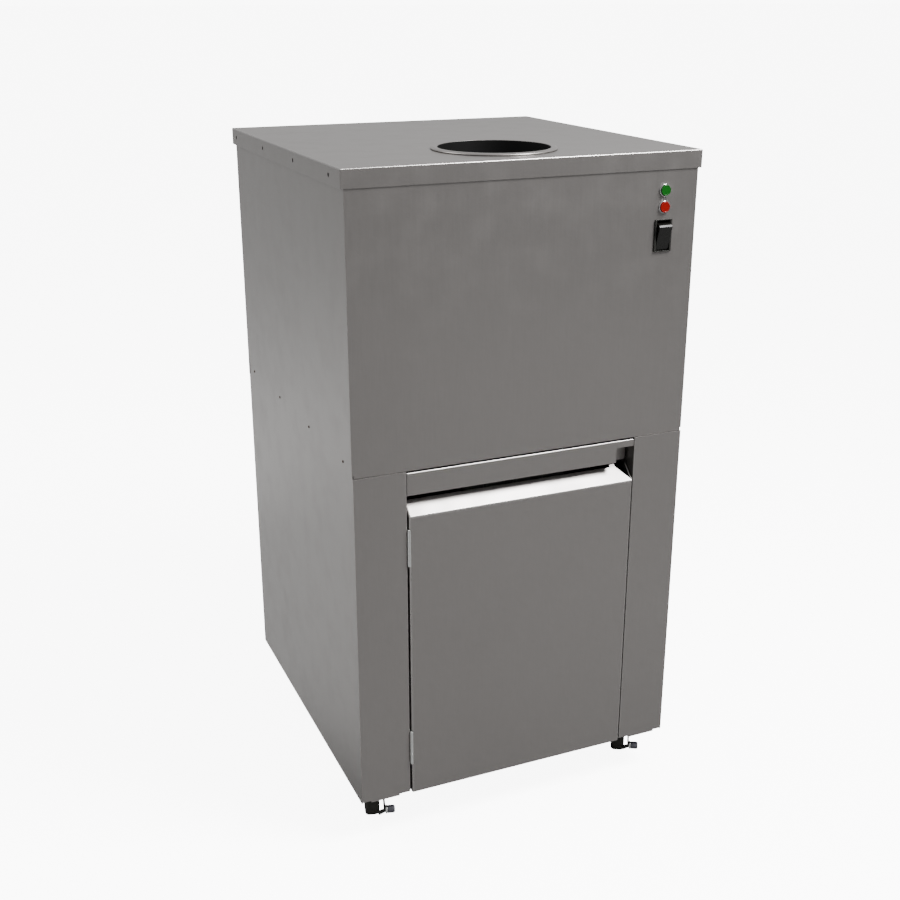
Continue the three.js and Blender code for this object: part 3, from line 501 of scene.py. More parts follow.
chrome = (metal("chrome_plate", rgb(206, 207, 209), rgb(226, 227, 229), rgb(240, 240, 241), 0.1, 1.0,
                grain_scale=500, grain_depth=0.000004, wear=0.2), "chrome")
bronze = (metal("nut_bronze", rgb(150, 108, 58), rgb(184, 138, 78), rgb(214, 176, 118), 0.32, 0.95,
                grain=(1, 1, 0.2), grain_scale=500, wear=0.5), "nut_bronze")
screw_bronze = (metal("dark_bronze_screw", rgb(52, 42, 34), rgb(74, 60, 48), rgb(110, 96, 80), 0.45, 0.7,
                      grain_scale=600), "dark_steel")
motor_paint = (metal("motor_enamel", rgb(44, 49, 55), rgb(56, 62, 68), rgb(120, 122, 124), 0.36, 0.15,
                     grain_scale=260, grain_depth=0.00008, wear=0.25), "motor_paint")
# Near-black finish for the chute tube and the ram sleeve: painted shade, standing in for the unlit depth of the chute
# hole.
chute_black = (metal("chute_painted_shade_black", rgb(2, 2, 2), rgb(6, 6, 6), rgb(36, 36, 36), 0.6, 0.0,
                     grain_scale=420, grain_depth=0.00009, wear=0.15, gloss=0.12), "chute_black")
black_plastic = (plastic("black_moulded_plastic", rgb(14, 14, 12), rgb(30, 29, 26), 0.42), "black_plastic")
knob_plastic = (plastic("dark_grey_knob_plastic", rgb(42, 42, 47), rgb(72, 72, 79), 0.38), "black_plastic")
tread_rubber = (plastic("caster_tread", rgb(25, 25, 22), rgb(46, 45, 40), 0.62, 500, 0.00012), "tread")
green_lens = (lens("green_lens", rgb(4, 58, 7), rgb(9, 72, 13)), "green_lens")
red_lens = (lens("red_lens", rgb(92, 3, 3), rgb(112, 8, 6)), "red_lens")
gloss_plastic = (plastic("polished_black_plastic", rgb(4, 4, 3), rgb(13, 12, 10), 0.2, 600, 0.00001),
                 "black_plastic")

# ---------------------------------------------------------------- cabinet

def cover_pan():
    low, high = span("top_cover")
    bm = bend(without_faces(block(low, high), DOWN))
    centre = (chute_axis.x, chute_axis.y)
    pierce(bm, UP, [(x, y, high.z) for x, y in circle(CHUTE_RADIUS + CHUTE_WALL + 0.3, centre, 72)])
    pitch = (high.y - low.y - COVER_HOLE_FRONT - COVER_HOLE_REAR) / (COVER_HOLES - 1)
    places = [(low.y + COVER_HOLE_FRONT + i * pitch, high.z - COVER_HOLE_DROP) for i in range(COVER_HOLES)]
    for x, direction in ((low.x, LEFT), (high.x, RIGHT)):
        holes = [[(x, y, z) for y, z in circle(COVER_HOLE_RADIUS, place, 20)] for place in places]
        pierce(bm, direction, *holes)
    piece(ease(thicken(bm)), "cover_pan", cabinet_steel, "cabinet", "top_cover")


def chute_collar():
    top = chute_high.z
    under = top - RIM_HEIGHT
    outer = chute_high.x
    inner = CHUTE_RADIUS + CHUTE_WALL
    rim = [(inner + 0.05, under), (outer - 0.8, under), (outer, under + 1), (outer - 0.6, top - 1.3),
           (outer - 5, top - 0.1), (inner + 1, top), (inner + 0.05, top - 0.6)]
    ring = placed(spun(softened(rim, 0.4, 2), 96), (chute_axis.x, chute_axis.y, 0))
    piece(ring, "chute_rim", cabinet_steel, "cabinet")
    wall = [(CHUTE_RADIUS, chute_low.z), (inner, chute_low.z), (inner, top - 0.5), (CHUTE_RADIUS, top - 0.5)]
    tube = placed(spun(softened(wall, 0.5, 3), 96), (chute_axis.x, chute_axis.y, 0))
    # The tube is near-black: painted shade for the deep inside of the chute.
    piece(tube, "chute_tube", chute_black, "cabinet", "chute")


def upper_front():
    low, high = span("upper_front_panel")
    width, height = CORNER_NOTCH
    outline = [(low.x + width, low.z), (high.x - width, low.z), (high.x - width, low.z + height),
               (high.x, low.z + height), (high.x, high.z), (low.x, high.z), (low.x, low.z + height),
               (low.x + width, low.z + height)]
    holes = []
    for node in ("green_button_bezel", "red_button_bezel"):
        centre = middle(node)
        holes.append(circle(9.5, (centre.x, centre.z), 32))
    frame_low, frame_high = span("rocker_frame")
    holes.append(rectangle(frame_low.x + 1.7, frame_high.x - 1.7, frame_low.z + 0.7, frame_high.z - 0.7))
    panel = laid(plate(SHEET, outline, *holes), RIGHT, UP, (0, high.y, 0))
    piece(ease(panel), "upper_front_sheet", cabinet_steel, "cabinet", "upper_front_panel")


def upper_back():
    low, high = span("upper_back_panel")
    inlet = middle("power_inlet")
    mouth = rectangle(inlet.x - 15.8, inlet.x + 15.8, inlet.z - 11.8, inlet.z + 11.8)
    panel = plate(SHEET, rectangle(low.x, high.x, low.z, high.z), mouth)
    piece(ease(laid(panel, RIGHT, UP, (0, high.y, 0))), "upper_back_sheet", cabinet_steel, "cabinet",
          "upper_back_panel")


def side_sheets(side, word):
    low, high = span(f"upper_{word}_panel")
    outline = softened(rectangle(low.y, high.y, low.z, high.z), 1.5)
    upper = laid(plate(SHEET, outline), BACK, UP, (low.x, 0, 0))
    piece(ease(upper), f"upper_{word}_sheet", cabinet_steel, "cabinet", f"upper_{word}_panel")
    ends = (low.y, high.y)
    low, high = span(f"lower_{word}_panel")
    step = span("left_front_post")[1].z
    outline = [(low.y, low.z), (high.y, low.z), (high.y, step), (ends[1], step), (ends[1], high.z),
               (ends[0], high.z), (ends[0], step), (low.y, step)]
    lower = laid(plate(SHEET, outline), BACK, UP, (low.x, 0, 0))
    piece(ease(lower), f"lower_{word}_sheet", cabinet_steel, "cabinet", f"lower_{word}_panel")
    face = low.x if side < 0 else high.x
    heads = [placed(button_screw(SEAM_SCREW_RADIUS, 1.1), (face, y, SEAM_SCREW_Z), RIGHT * side)
             for y in SEAM_SCREWS_Y]
    piece(together(*heads), f"{word}_seam_screws", screw_bronze, "cabinet")


def lower_back():
    low, high = span("lower_back_panel")
    panel = laid(plate(SHEET, softened(rectangle(low.x, high.x, low.z, high.z), 2)), RIGHT, UP, (0, high.y, 0))
    piece(ease(panel), "lower_back_sheet", cabinet_steel, "cabinet", "lower_back_panel")
    seam = span("upper_back_panel")[0].z
    heads = []
    for x in (low.x + 30, low.x / 3, high.x / 3, high.x - 30):
        for z, y in ((seam - 14, high.y), (low.z + 40, high.y), (seam + 14, span("upper_back_panel")[1].y)):
            heads.append(placed(button_screw(3.6, 0.9), (x, y, z), BACK))
    piece(together(*heads), "back_screws", screw_bronze, "cabinet")


def front_post(side, word):
    low, high = span(f"{word}_front_post")
    outer, inner = (low.x, high.x) if side < 0 else (high.x, low.x)
    lip, back = inner + side * POST_LIP, low.y + POST_DEPTH
    path = [(outer, low.y, low.z), (inner, low.y, low.z), (inner, back, low.z), (lip, back, low.z)]
    bm = strip(path, UP * (high.z - low.z))
    foot = low.z + POST_RELIEF
    stays = sorted((inner + side * POST_FOOT[0], outer - side * POST_FOOT[1]))
    cuts = [((0, 0, foot), UP), ((stays[0], 0, 0), RIGHT), ((stays[1], 0, 0), RIGHT)]
    cut_away(bm, cuts, lambda c: c.z < foot and not stays[0] < c.x < stays[1])
    piece(ease(thicken(bend(bm, 1.6))), f"{word}_post", cabinet_steel, "cabinet", f"{word}_front_post")


def header():
    low, high = span("header_rail")
    path = [(low.x, high.y, low.z), (low.x, low.y, low.z), (low.x, low.y, high.z), (low.x, high.y, high.z)]
    bm = strip(path, RIGHT * (high.x - low.x))
    edge, top = high.x + 0.3 - NOTCH_WIDTH, low.z + NOTCH_HEIGHT
    cut_away(bm, [((edge, 0, 0), RIGHT), ((0, 0, top), UP)], lambda c: c.x > edge and c.z < top)
    piece(ease(thicken(bend(bm))), "header", cabinet_steel, "cabinet", "header_rail")


def catch_and_interlock():
    low, high = span("door_catch")
    slots = [softened(rectangle(x - 6, x + 6, high.z - 12, high.z - 7), 2.4, 5) for x in (low.x + 12, high.x - 12)]
    bracket = plate(SHEET, softened(rectangle(low.x, high.x, low.z, high.z), 3, 4), *slots)
    piece(ease(laid(bracket, RIGHT, UP, (0, high.y, 0))), "catch_bracket", cabinet_steel, "cabinet", "door_catch")
    low, high = span("interlock_switch")
    body = ease(block((low.x + 3, low.y, low.z), high), 1, 3)
    ribs = [ease(block((low.x + 6 + i * 8, low.y - 0.2, low.z + 2), (low.x + 9 + i * 8, low.y + 1, high.z - 2)), 0.4)
            for i in range(3)]
    plunger = placed(spun(softened([(0, 0), (4, 0), (4, 3), (2.6, 4), (0, 4)], 0.8), 24),
                     (low.x + 4, (low.y + high.y) / 2, (low.z + high.z) / 2), LEFT)
    terminals = [ease(block((x, high.y, low.z + 8), (x + 0.8, high.y + 6, low.z + 14)), 0.15)
                 for x in (low.x + 9, low.x + 17, low.x + 25)]
    piece(together(body, *ribs, plunger, *terminals), "interlock", black_plastic, "cabinet", "interlock_switch")


# ---------------------------------------------------------------- door

def door_shell():
    low, high = span("door_skin")
    high.x -= DOOR_GAP
    bm = bmesh.new()
    slope_top = high.z
    front_top = slope_top - (high.y - low.y)
    corners = [(low.y, low.z), (high.y, low.z), (high.y, slope_top), (low.y, front_top)]
    bm.faces.new([bm.verts.new((low.x, y, z)) for y, z in corners])
    carried = bmesh.ops.extrude_face_region(bm, geom=bm.faces[:])["geom"]
    bmesh.ops.translate(bm, vec=RIGHT * (high.x - low.x), verts=[v for v in carried if isinstance(v, bmesh.types.BMVert)])
    bmesh.ops.recalc_face_normals(bm, faces=bm.faces)
    without_faces(bm, BACK)
    without_faces(bm, (UP + FRONT).normalized())
    ledge_end = low.y + LEDGE_DEPTH
    cut_away(bm, [((0, ledge_end, 0), BACK)], lambda c: False)
    tab_right = high.x - SHEET - LEDGE_MITRE
    tab_left = tab_right - LEDGE_TAB_WIDTH
    plan = [(low.x, low.y), (high.x, low.y), (tab_right, ledge_end), (tab_right, high.y), (tab_left, high.y),
            (tab_left, ledge_end), (low.x, ledge_end)]
    bm.faces.new([bm.verts.new((x, y, front_top + y - low.y)) for x, y in plan])
    bmesh.ops.remove_doubles(bm, verts=bm.verts, dist=1e-3)
    bmesh.ops.recalc_face_normals(bm, faces=bm.faces)
    piece(ease(thicken(bend(bm, 1.6))), "door_shell", cabinet_steel, "door", "door_skin")


def door_liner():
    low, high = span("door_inner_panel")
    panel = laid(plate(SHEET, softened(rectangle(low.x, high.x, low.z, high.z), 4, 4)), RIGHT, UP, (0, high.y, 0))
    rivets = []
    for i in range(6):
        z = low.z + 20 + i * (high.z - low.z - 40) / 5
        for x in (low.x + 10, high.x - 10):
            rivets.append(placed(button_screw(3, 1.2), (x, high.y, z), BACK))
    piece(together(ease(panel), *rivets), "door_liner", zinc, "door", "door_inner_panel")


def knuckle(axis, bottom, top):
    profile = [(PIN_RADIUS + 0.25, bottom), (KNUCKLE_RADIUS, bottom), (KNUCKLE_RADIUS, top), (PIN_RADIUS + 0.25, top)]
    return placed(spun(softened(profile, 0.35), 32), (axis.x, axis.y, 0))


def hinge_leaf(node, name, body, plate_x, axis, bands):
    low, high = span(node)
    start = axis.y + KNUCKLE_RADIUS + 0.3
    third = (high.z - low.z) / 3
    if len(bands) == 1:
        low.z, high.z = span(node.replace("door", "frame"))[0].z, span(node.replace("door", "frame"))[1].z
        third = (high.z - low.z) / 3
    places = [((start + high.y) / 2 + 1, low.z + third * (i + 0.5)) for i in range(3)]
    holes = [circle(HINGE_SCREW_RADIUS + 0.2, place, 20) for place in places]
    leaf = plate(HINGE_LEAF, softened(rectangle(start, high.y, low.z, high.z), 2.5, 4), *holes)
    parts = [ease(laid(leaf, BACK, UP, (plate_x, 0, 0)), 0.15)]
    for band in bands:
        bottom, top = low.z + band * third + 0.15, low.z + (band + 1) * third - 0.15
        parts.append(knuckle(axis, bottom, top))
        parts.append(ease(block((plate_x, axis.y + 0.4, bottom), (plate_x + HINGE_LEAF, start + 1, top)), 0.15))
    parts += [placed(button_screw(HINGE_SCREW_RADIUS, 0.4), (plate_x + HINGE_LEAF / 2, *place),
                     LEFT if len(bands) == 1 else RIGHT) for place in places]
    piece(together(*parts), name, zinc, body, node)


def hinges():
    frame_x = span("left_front_post")[1].x + 0.3
    door_x = span("door_skin")[0].x - 0.3 - HINGE_LEAF
    for word in ("upper", "lower"):
        axis = middle(f"{word}_hinge_pin")
        low, high = span(f"{word}_hinge_pin")
        hinge_leaf(f"{word}_hinge_frame_leaf", f"{word}_hinge_post_leaf", "cabinet", frame_x, axis, (0, 2))
        hinge_leaf(f"{word}_hinge_door_leaf", f"{word}_hinge_swing_leaf", "door", door_x, axis, (1,))
        profile = [(0, low.z), (PIN_RADIUS, low.z), (PIN_RADIUS, high.z - 0.4), (PIN_RADIUS * 0.6, high.z), (0, high.z)]
        pin = placed(spun(softened(profile, 0.3), 24), (axis.x, axis.y, 0))
        piece(pin, f"{word}_pin", zinc, "cabinet", f"{word}_hinge_pin")


# ---------------------------------------------------------------- controls

def push_button(word, finish):
    low, high = span(f"{word}_button_bezel")
    axis = middle(f"{word}_button")
    seat = low.y + 2.5
    depth = high.y - seat
    cup = [(0, -depth), (9.4, -depth), (9.4, 0), (10.2, 0), (10.2, 1.4), (9.9, 2.3), (9.4, 2.5), (9, 2),
           (9, 2 - depth), (0, 2 - depth)]
    bezel = placed(spun(softened(cup, 0.35), 48), (axis.x, seat, axis.z), FRONT)
    piece(bezel, f"{word}_bezel", chrome, "cabinet", f"{word}_button_bezel")
    nut = [(9.5, -5.6), (12.4, -5.6), (12.4, -2.2), (9.5, -2.2)]
    piece(placed(spun(softened(nut, 0.5), 24), (axis.x, seat, axis.z), FRONT), f"{word}_lock_nut", zinc, "cabinet")
    low, high = span(f"{word}_button")
    long = high.y - low.y
    cap = [(0, 0), (8, 0), (8, long - 9), (8.75, long - 8), (8.75, long - 0.8), (8.1, long), (7.5, long - 0.1),
           (7.1, long - 0.4), (0, long - 0.3)]
    button = placed(spun(softened(cap, 0.3), 48), (axis.x, high.y, axis.z), FRONT)
    piece(button, f"{word}_cap", finish, f"{word}_button", f"{word}_button")


def rocker_switch():
    low, high = span("rocker_frame")
    seat = low.y + 2.5
    window = rectangle(low.x + 2.9, high.x - 2.9, low.z + 1.4, high.z - 1.4)
    lip = plate(2.5, softened(rectangle(low.x, high.x, low.z, high.z), 1.2, 3), window)
    body = plate(high.y - seat, rectangle(low.x + 2, high.x - 2, low.z + 0.9, high.z - 0.9), window)
    floor = block((low.x + 2.4, high.y - 3, low.z + 1.2), (high.x - 2.4, high.y - 0.2, high.z - 1.2))
    pins = [ease(block((x - 0.4, high.y, z - 3), (x + 0.4, high.y + 8, z + 3)), 0.15)
            for x in (middle("rocker_frame").x,) for z in (low.z + 12, low.z + 26, low.z + 40)]
    shell = together(ease(laid(lip, RIGHT, UP, (0, seat, 0)), 0.5, 3), laid(body, RIGHT, UP, (0, high.y, 0)), floor, *pins)
    piece(shell, "rocker_housing", black_plastic, "cabinet", "rocker_frame")
    pivot = Vector(joints["rocker_tilt"]["pos_m"]) / MILLIMETRE
    low, high = span("rocker_switch")
    low.x, high.x = low.x - 1.6, high.x + 1.6
    wedge = plate(high.x - low.x, [(-9.5, -21.5), (4, -20), (4, 20), (-7, 20), (-9.5, 17.5)])
    wedge = laid(wedge, BACK, UP, (low.x - pivot.x, 0, 0))
    place = Matrix.Translation(pivot) @ Matrix.Rotation(math.radians(16), 4, "X")
    piece(moved(ease(wedge, 0.5, 3, 30), place), "rocker_paddle", gloss_plastic, "rocker", "rocker_switch")


# ---------------------------------------------------------------- casters

WHEEL_RADIUS = 37.5
TRAIL = 30
FORK_INSIDE = 14.5
FORK_PLATE = 2.5
CROWN_TOP = 79.4
LEVER_PIVOT = (-56, 72)
LEVER_END = (-92, 46)


def caster_fork(name, place, has_brake):
    outside = FORK_INSIDE + FORK_PLATE
    side = [(-40, 28.5), (-22, 28.5), (16, CROWN_TOP - 6), (18, CROWN_TOP), (-62, CROWN_TOP), (-62, CROWN_TOP - 14),
            (-48, 47.5)]
    cheeks = [ease(laid(plate(FORK_PLATE, softened(side, 7, 5), circle(4.2, (-TRAIL, WHEEL_RADIUS), 20)),
                        BACK, UP, (x, 0, 0)), 0.5) for x in (-outside, FORK_INSIDE)]
    crown = plate(3, softened(rectangle(-outside, outside, -22, 18), 5, 4))
    crown = ease(laid(crown, RIGHT, BACK, (0, 0, CROWN_TOP - 3)), 0.5)
    race = [(0, CROWN_TOP - 0.5), (19, CROWN_TOP - 0.5), (22, CROWN_TOP + 2.5), (22, CROWN_TOP + 7),
            (19.2, CROWN_TOP + 9), (19.2, CROWN_TOP + 11), (21.6, CROWN_TOP + 13), (21.6, CROWN_TOP + 17),
            (17, CROWN_TOP + 20.2), (0, CROWN_TOP + 20.2)]
    head = spun(softened(race, 1.2), 40)
    king_nut = ease(bar(8, (0, 0, CROWN_TOP - 9), (0, 0, CROWN_TOP - 3), 6), 0.6)
    axle = bar(4, (-outside - 1, -TRAIL, WHEEL_RADIUS), (outside + 1, -TRAIL, WHEEL_RADIUS), 24)
    bolt_head = placed(hex_bolt(5.2, 3), (outside, -TRAIL, WHEEL_RADIUS), RIGHT)
    bolt_nut = placed(hex_bolt(5.2, 3), (-outside, -TRAIL, WHEEL_RADIUS), LEFT)
    parts = [*cheeks, crown, head, king_nut, axle, bolt_head, bolt_nut]
    if has_brake:
        parts.append(placed(button_screw(3.6, 1.6), (outside, LEVER_PIVOT[0] + 9, LEVER_PIVOT[1] + 2), RIGHT))
    # The fork is dark steel where the part file has zinc: its darkness is partly painted shade, for the shadow under
    # the cabinet where the fork shows only as a dark shape.
    piece(moved(together(*parts), place), f"{name}_fork", dark_steel, f"{name}_caster", f"{name}_caster_fork")


def caster_wheel(name, place):
    hub_centre = Matrix.Translation((0, -TRAIL, WHEEL_RADIUS)) @ Matrix.Rotation(math.pi / 2, 4, "Y")
    tyre = [(27, -11.4), (33, -12.6), (36.2, -10.6), (WHEEL_RADIUS, -6.5), (WHEEL_RADIUS, 6.5), (36.2, 10.6),
            (33, 12.6), (27, 11.4)]
    tyre = moved(spun(softened(tyre, 1.6), 64), place @ hub_centre)
    piece(tyre, f"{name}_tyre", tread_rubber, f"{name}_wheel", f"{name}_wheel")
    hub = [(4.3, -13.6), (10, -13.6), (12, -12.6), (13, -7), (23, -6), (25, -9.6), (27.1, -10.2), (27.1, 10.2),
           (25, 9.6), (23, 6), (13, 7), (12, 12.6), (10, 13.6), (4.3, 13.6)]
    rim = spun(softened(hub, 1), 64)
    spokes = [placed(ease(block((12, -1.2, -8.6), (24, 1.2, 8.6)), 0.4), (0, 0, 0), UP, turn * math.pi / 3)
              for turn in range(6)]
    piece(moved(together(rim, *spokes), place @ hub_centre), f"{name}_hub", black_plastic, f"{name}_wheel")


def brake_lever(name, place):
    inside = FORK_INSIDE + FORK_PLATE + 0.3
    pivot_y, pivot_z = LEVER_PIVOT
    end_y, end_z = LEVER_END
    arm = [(pivot_y - 3, pivot_z - 5), (pivot_y + 5, pivot_z - 4), (pivot_y + 5, pivot_z + 5),
           (pivot_y - 4, pivot_z + 5), (end_y - 3, end_z + 5), (end_y - 3, end_z - 5), (end_y + 3, end_z - 4)]
    arm = ease(laid(plate(3, softened(arm, 2.5, 4)), BACK, UP, (inside, 0, 0)), 0.5)
    boss = placed(spun(softened([(0, 0), (4, 0), (4, 1.4), (2, 2), (0, 2)], 0.4), 24), (inside + 3, *LEVER_PIVOT), RIGHT)
    toe = ease(bar(3.4, (inside + 1.5, end_y, end_z - 2), (inside - 9, end_y + 2, end_z - 8), 16, 4.2), 0.8)
    body = f"{name}_brake"
    piece(moved(together(arm, boss, toe), place), f"{name}_brake_arm", black_plastic, body, f"{name}_brake_lever")
    ring = placed(spun(softened([(3, 0), (7.4, 0), (7.4, 3), (3, 3)], 0.7), 32), (inside + 3, *LEVER_END), RIGHT)
    piece(moved(ring, place), f"{name}_brake_ring", zinc, body)
    knob = [(0, 0), (6.2, 0), (7, 1.5), (7, 11.5), (5.4, 13.8), (0, 14.2)]
    knob = placed(spun(softened(knob, 1.2, 4), 32), (inside + 5.8, *LEVER_END), RIGHT)
    piece(moved(knob, place), f"{name}_brake_knob", knob_plastic, body)


def caster_plate(name, x, y):
    bottom = span("base_pan")[0].z - 2.9
    pad = ease(placed(plate(2.8, softened(rectangle(-24, 24, -24, 24), 6, 4)), (x, y, bottom)), 0.5)
    bolts = [placed(hex_bolt(4, 3), (x + dx, y + dy, bottom), DOWN) for dx in (-17.5, 17.5) for dy in (-17.5, 17.5)]
    nuts = [placed(hex_bolt(4, 4), (x + dx, y + dy, span("base_pan")[1].z), UP)
            for dx in (-17.5, 17.5) for dy in (-17.5, 17.5)]
    piece(together(pad, *bolts, *nuts), f"{name}_caster_plate", zinc, "cabinet")


def casters():
    for name in ("front_left", "front_right", "rear_left", "rear_right"):
        x, y, _ = (v / MILLIMETRE for v in joints[f"{name}_swivel"]["pos_m"])
        across = joints[f"{name}_roll"]["axis"]
        place = Matrix.Translation((x, y, 0)) @ Matrix.Rotation(math.atan2(across[1], across[0]), 4, "Z")
        has_brake = f"{name}_brake_press" in joints
        caster_fork(name, place, has_brake)
        caster_wheel(name, place)
        caster_plate(name, x, y)
        if has_brake:
            brake_lever(name, place)

# ---------------------------------------------------------------- frame and bin

RUNNING = 0.3
ROD_RADIUS = 12.5
CHAIN_PITCH = 12.7
SCREW_TEETH = 24
DRIVE_TEETH = 12
TOOTH_HEIGHT = 3.5
TOOTH_TIP = 1
SCREW_LEAD = 10
DECK_CLEARANCE = (13, 6, 10)
BRIDGE_SHEET = 6


def ring_of(count, radius, centre=(0, 0), start=0.0):
    return [(centre[0] + radius * math.cos(start + 2 * math.pi * i / count),
             centre[1] + radius * math.sin(start + 2 * math.pi * i / count)) for i in range(count)]


def base_and_deck():
    low, high = span("base_pan")
    drains = [softened(rectangle(x - 30, x + 30, y - 5, y + 5), 4.8, 5) for x in (-90, 90) for y in (low.y + 40, 60)]
    pan = plate(high.z - low.z, softened(rectangle(low.x, high.x, low.y, high.y), 3), *drains)
    piece(ease(placed(pan, (0, 0, low.z)), 0.5), "base_plate", zinc, "cabinet", "base_pan")
    low, high = span("deck_plate")
    ram_low, ram_high = span("ram_platen")
    side, front, rear = DECK_CLEARANCE
    mouth = rectangle(ram_low.x - side, ram_high.x + side, ram_low.y - front, ram_high.y + rear)
    deck = plate(high.z - low.z, softened(rectangle(low.x, high.x, low.y, high.y), 3), softened(mouth, 6, 4))
    deck = ease(placed(deck, (0, 0, low.z)), 0.4)
    bolts = [placed(hex_bolt(4.5, 4), (x, y, high.z)) for x in (low.x + 14, high.x - 14)
             for y in (-250, -125, 120, 250)]
    piece(together(deck, *bolts), "deck", zinc, "cabinet", "deck_plate")


def bin_box():
    low, high = span("bin")
    bm = without_faces(block(low, high), UP)
    bend(bm, 6)
    grip = softened(rectangle(-55, 55, high.z - 62, high.z - 34), 13, 6)
    for y, direction in ((low.y, FRONT), (high.y, BACK)):
        pierce(bm, direction, [(x, y, z) for x, z in grip])
    shell = ease(thicken(bm))
    inset = 6
    rim = plate(5, softened(rectangle(low.x, high.x, low.y, high.y), 6, 4),
                softened(rectangle(low.x + inset, high.x - inset, low.y + inset, high.y - inset), 5, 4))
    rim = ease(placed(rim, (0, 0, high.z - 5)), 2.2, 4)
    piece(together(shell, rim), "bin_pan", bin_steel, "cabinet", "bin")


def bridge():
    low, high = span("bridge_plate")
    path = [(low.x, low.y, low.z), (low.x, low.y, high.z), (high.x, low.y, high.z), (high.x, low.y, low.z)]
    bm = bend(strip(path, BACK * (high.y - low.y)), 8)
    holes = [circle(14, (0, screw_axis.y), 40), circle(10.5, (0, motor_axis.y), 40)]
    holes += [softened(rectangle(x - 30, x + 30, y - 18, y + 18), 8, 4) for x in (-190, 190) for y in (150,)]
    pierce(bm, UP, *[[(x, y, high.z) for x, y in hole] for hole in holes])
    deck = ease(thicken(bm, BRIDGE_SHEET), 0.5)
    bolts = [placed(hex_bolt(5.5, 5), (x, motor_axis.y + y, high.z)) for x in (-42, 42) for y in (-42, 42)]
    bolts += [placed(hex_bolt(5.5, 5), (x, y, low.z + 14), direction) for x, direction in
              ((low.x + BRIDGE_SHEET, RIGHT), (high.x - BRIDGE_SHEET, LEFT)) for y in (-20, 90, 240)]
    piece(together(deck, *bolts), "bridge", zinc, "cabinet", "bridge_plate")


def guide_rods():
    for side in ("left", "right"):
        low, high = span(f"{side}_guide_rod")
        x, y, radius = (low.x + high.x) / 2, (low.y + high.y) / 2, ROD_RADIUS
        profile = [(0, low.z), (radius - 1.5, low.z), (radius, low.z + 1.5), (radius, high.z - 1.5),
                   (radius - 1.5, high.z), (0, high.z)]
        rod = placed(spun(softened(profile, 0.5), 48), (x, y, 0))
        piece(rod, f"{side}_rod", chrome, "cabinet", f"{side}_guide_rod")
        clamps = []
        for z in (low.z, high.z - 9):
            clamp = [(radius + 0.1, z), (19, z), (19, z + 9), (radius + 0.1, z + 9)]
            clamps.append(placed(spun(softened(clamp, 1), 40), (x, y, 0)))
            clamps.append(placed(hex_bolt(3, 3), (x, y - 18.6, z + 4.5), FRONT))
        piece(together(*clamps), f"{side}_rod_clamps", dark_steel, "cabinet")


# ---------------------------------------------------------------- ram

def ram_body():
    low, high = span("ram_platen")
    bolts = [circle(2.6, place, 16) for place in ring_of(12, 104, (chute_axis.x, chute_axis.y), 0.2)
             if low.x + 8 < place[0] < high.x - 8 and place[1] > low.y + 8]
    face = plate(high.z - low.z, softened(rectangle(low.x, high.x, low.y, high.y), 5, 4),
                 circle(94, (chute_axis.x, chute_axis.y), 72), *bolts)
    piece(ease(placed(face, (0, 0, low.z)), 0.8), "platen", ram_steel, "ram", "ram_platen")
    low, high = span("ram_skirt")
    outer = softened(rectangle(low.x, high.x, low.y, high.y), 7, 5)
    inner = softened(rectangle(low.x + 2, high.x - 2, low.y + 2, high.y - 2), 5, 5)
    wall = ease(placed(plate(high.z - low.z, outer, inner), (0, 0, low.z)), 0.3, 2, 60)
    rivets = []
    for z in (low.z + 12, high.z - 12):
        for i in range(7):
            x = low.x + 24 + i * (high.x - low.x - 48) / 6
            rivets += [placed(button_screw(3.6, 1.6), (x, y, z), way) for y, way in ((low.y, FRONT), (high.y, BACK))]
        for i in range(8):
            y = low.y + 24 + i * (high.y - low.y - 48) / 7
            rivets += [placed(button_screw(3.6, 1.6), (x, y, z), way) for x, way in ((low.x, LEFT), (high.x, RIGHT))]
    piece(together(wall, *rivets), "ram_wall", zinc, "ram", "ram_skirt")
    low, high = span("ram_sleeve")
    inner, outer = 94, high.x
    tube = [(inner, low.z), (outer, low.z), (outer, high.z), (inner, high.z)]
    # The sleeve, seen down the chute, takes the same near-black painted shade.
    piece(placed(spun(softened(tube, 0.5), 96), (chute_axis.x, chute_axis.y, 0)), "sleeve", chute_black, "ram",
          "ram_sleeve")


def crosshead():
    low, high = span("ram_crosshead")
    rod_x = middle("right_guide_rod").x
    y = screw_axis.y
    holes = [circle(ROD_RADIUS + RUNNING, (-rod_x, y), 40), circle(ROD_RADIUS + RUNNING, (rod_x, y), 40),
             circle(22.3, (0, y), 48)]
    beam = plate(high.z - low.z, softened(rectangle(low.x, high.x, low.y, high.y), 9, 5), *holes)
    beam = ease(placed(beam, (0, 0, low.z)), 1.5, 3)
    parts = [beam]
    for x in (-rod_x, rod_x):
        bush = [(ROD_RADIUS + RUNNING, high.z - 1), (22, high.z - 1), (22, high.z + 3), (18, high.z + 5),
                (ROD_RADIUS + RUNNING, high.z + 5)]
        parts.append(placed(spun(softened(bush, 0.8), 40), (x, y, 0)))
        parts += [placed(hex_bolt(3, 3), (px, py, high.z)) for px, py in ring_of(4, 27, (x, y), math.pi / 4)
                  if abs(px) < high.x - 6]
    parts += [placed(hex_bolt(5, 5), (x, y + dy, high.z)) for x in (-140, -80, 80, 140) for dy in (-22, 22)]
    piece(together(*parts), "crosshead", dark_steel, "ram", "ram_crosshead")
    low, high = span("screw_nut")
    bore, barrel, flange = ROD_RADIUS + RUNNING, 22, high.x
    seat = high.z - 8
    body = [(bore, low.z), (barrel, low.z), (barrel, seat), (flange, seat), (flange, high.z), (bore + 3, high.z),
            (bore, high.z - 2)]
    nut = placed(spun(softened(body, 0.6), 48), (0, y, 0))
    screws = [placed(button_screw(2.6, 2), (px, py, high.z)) for px, py in ring_of(6, 23, (0, y))]
    piece(together(nut, *screws), "bronze_nut", bronze, "ram", "screw_nut")


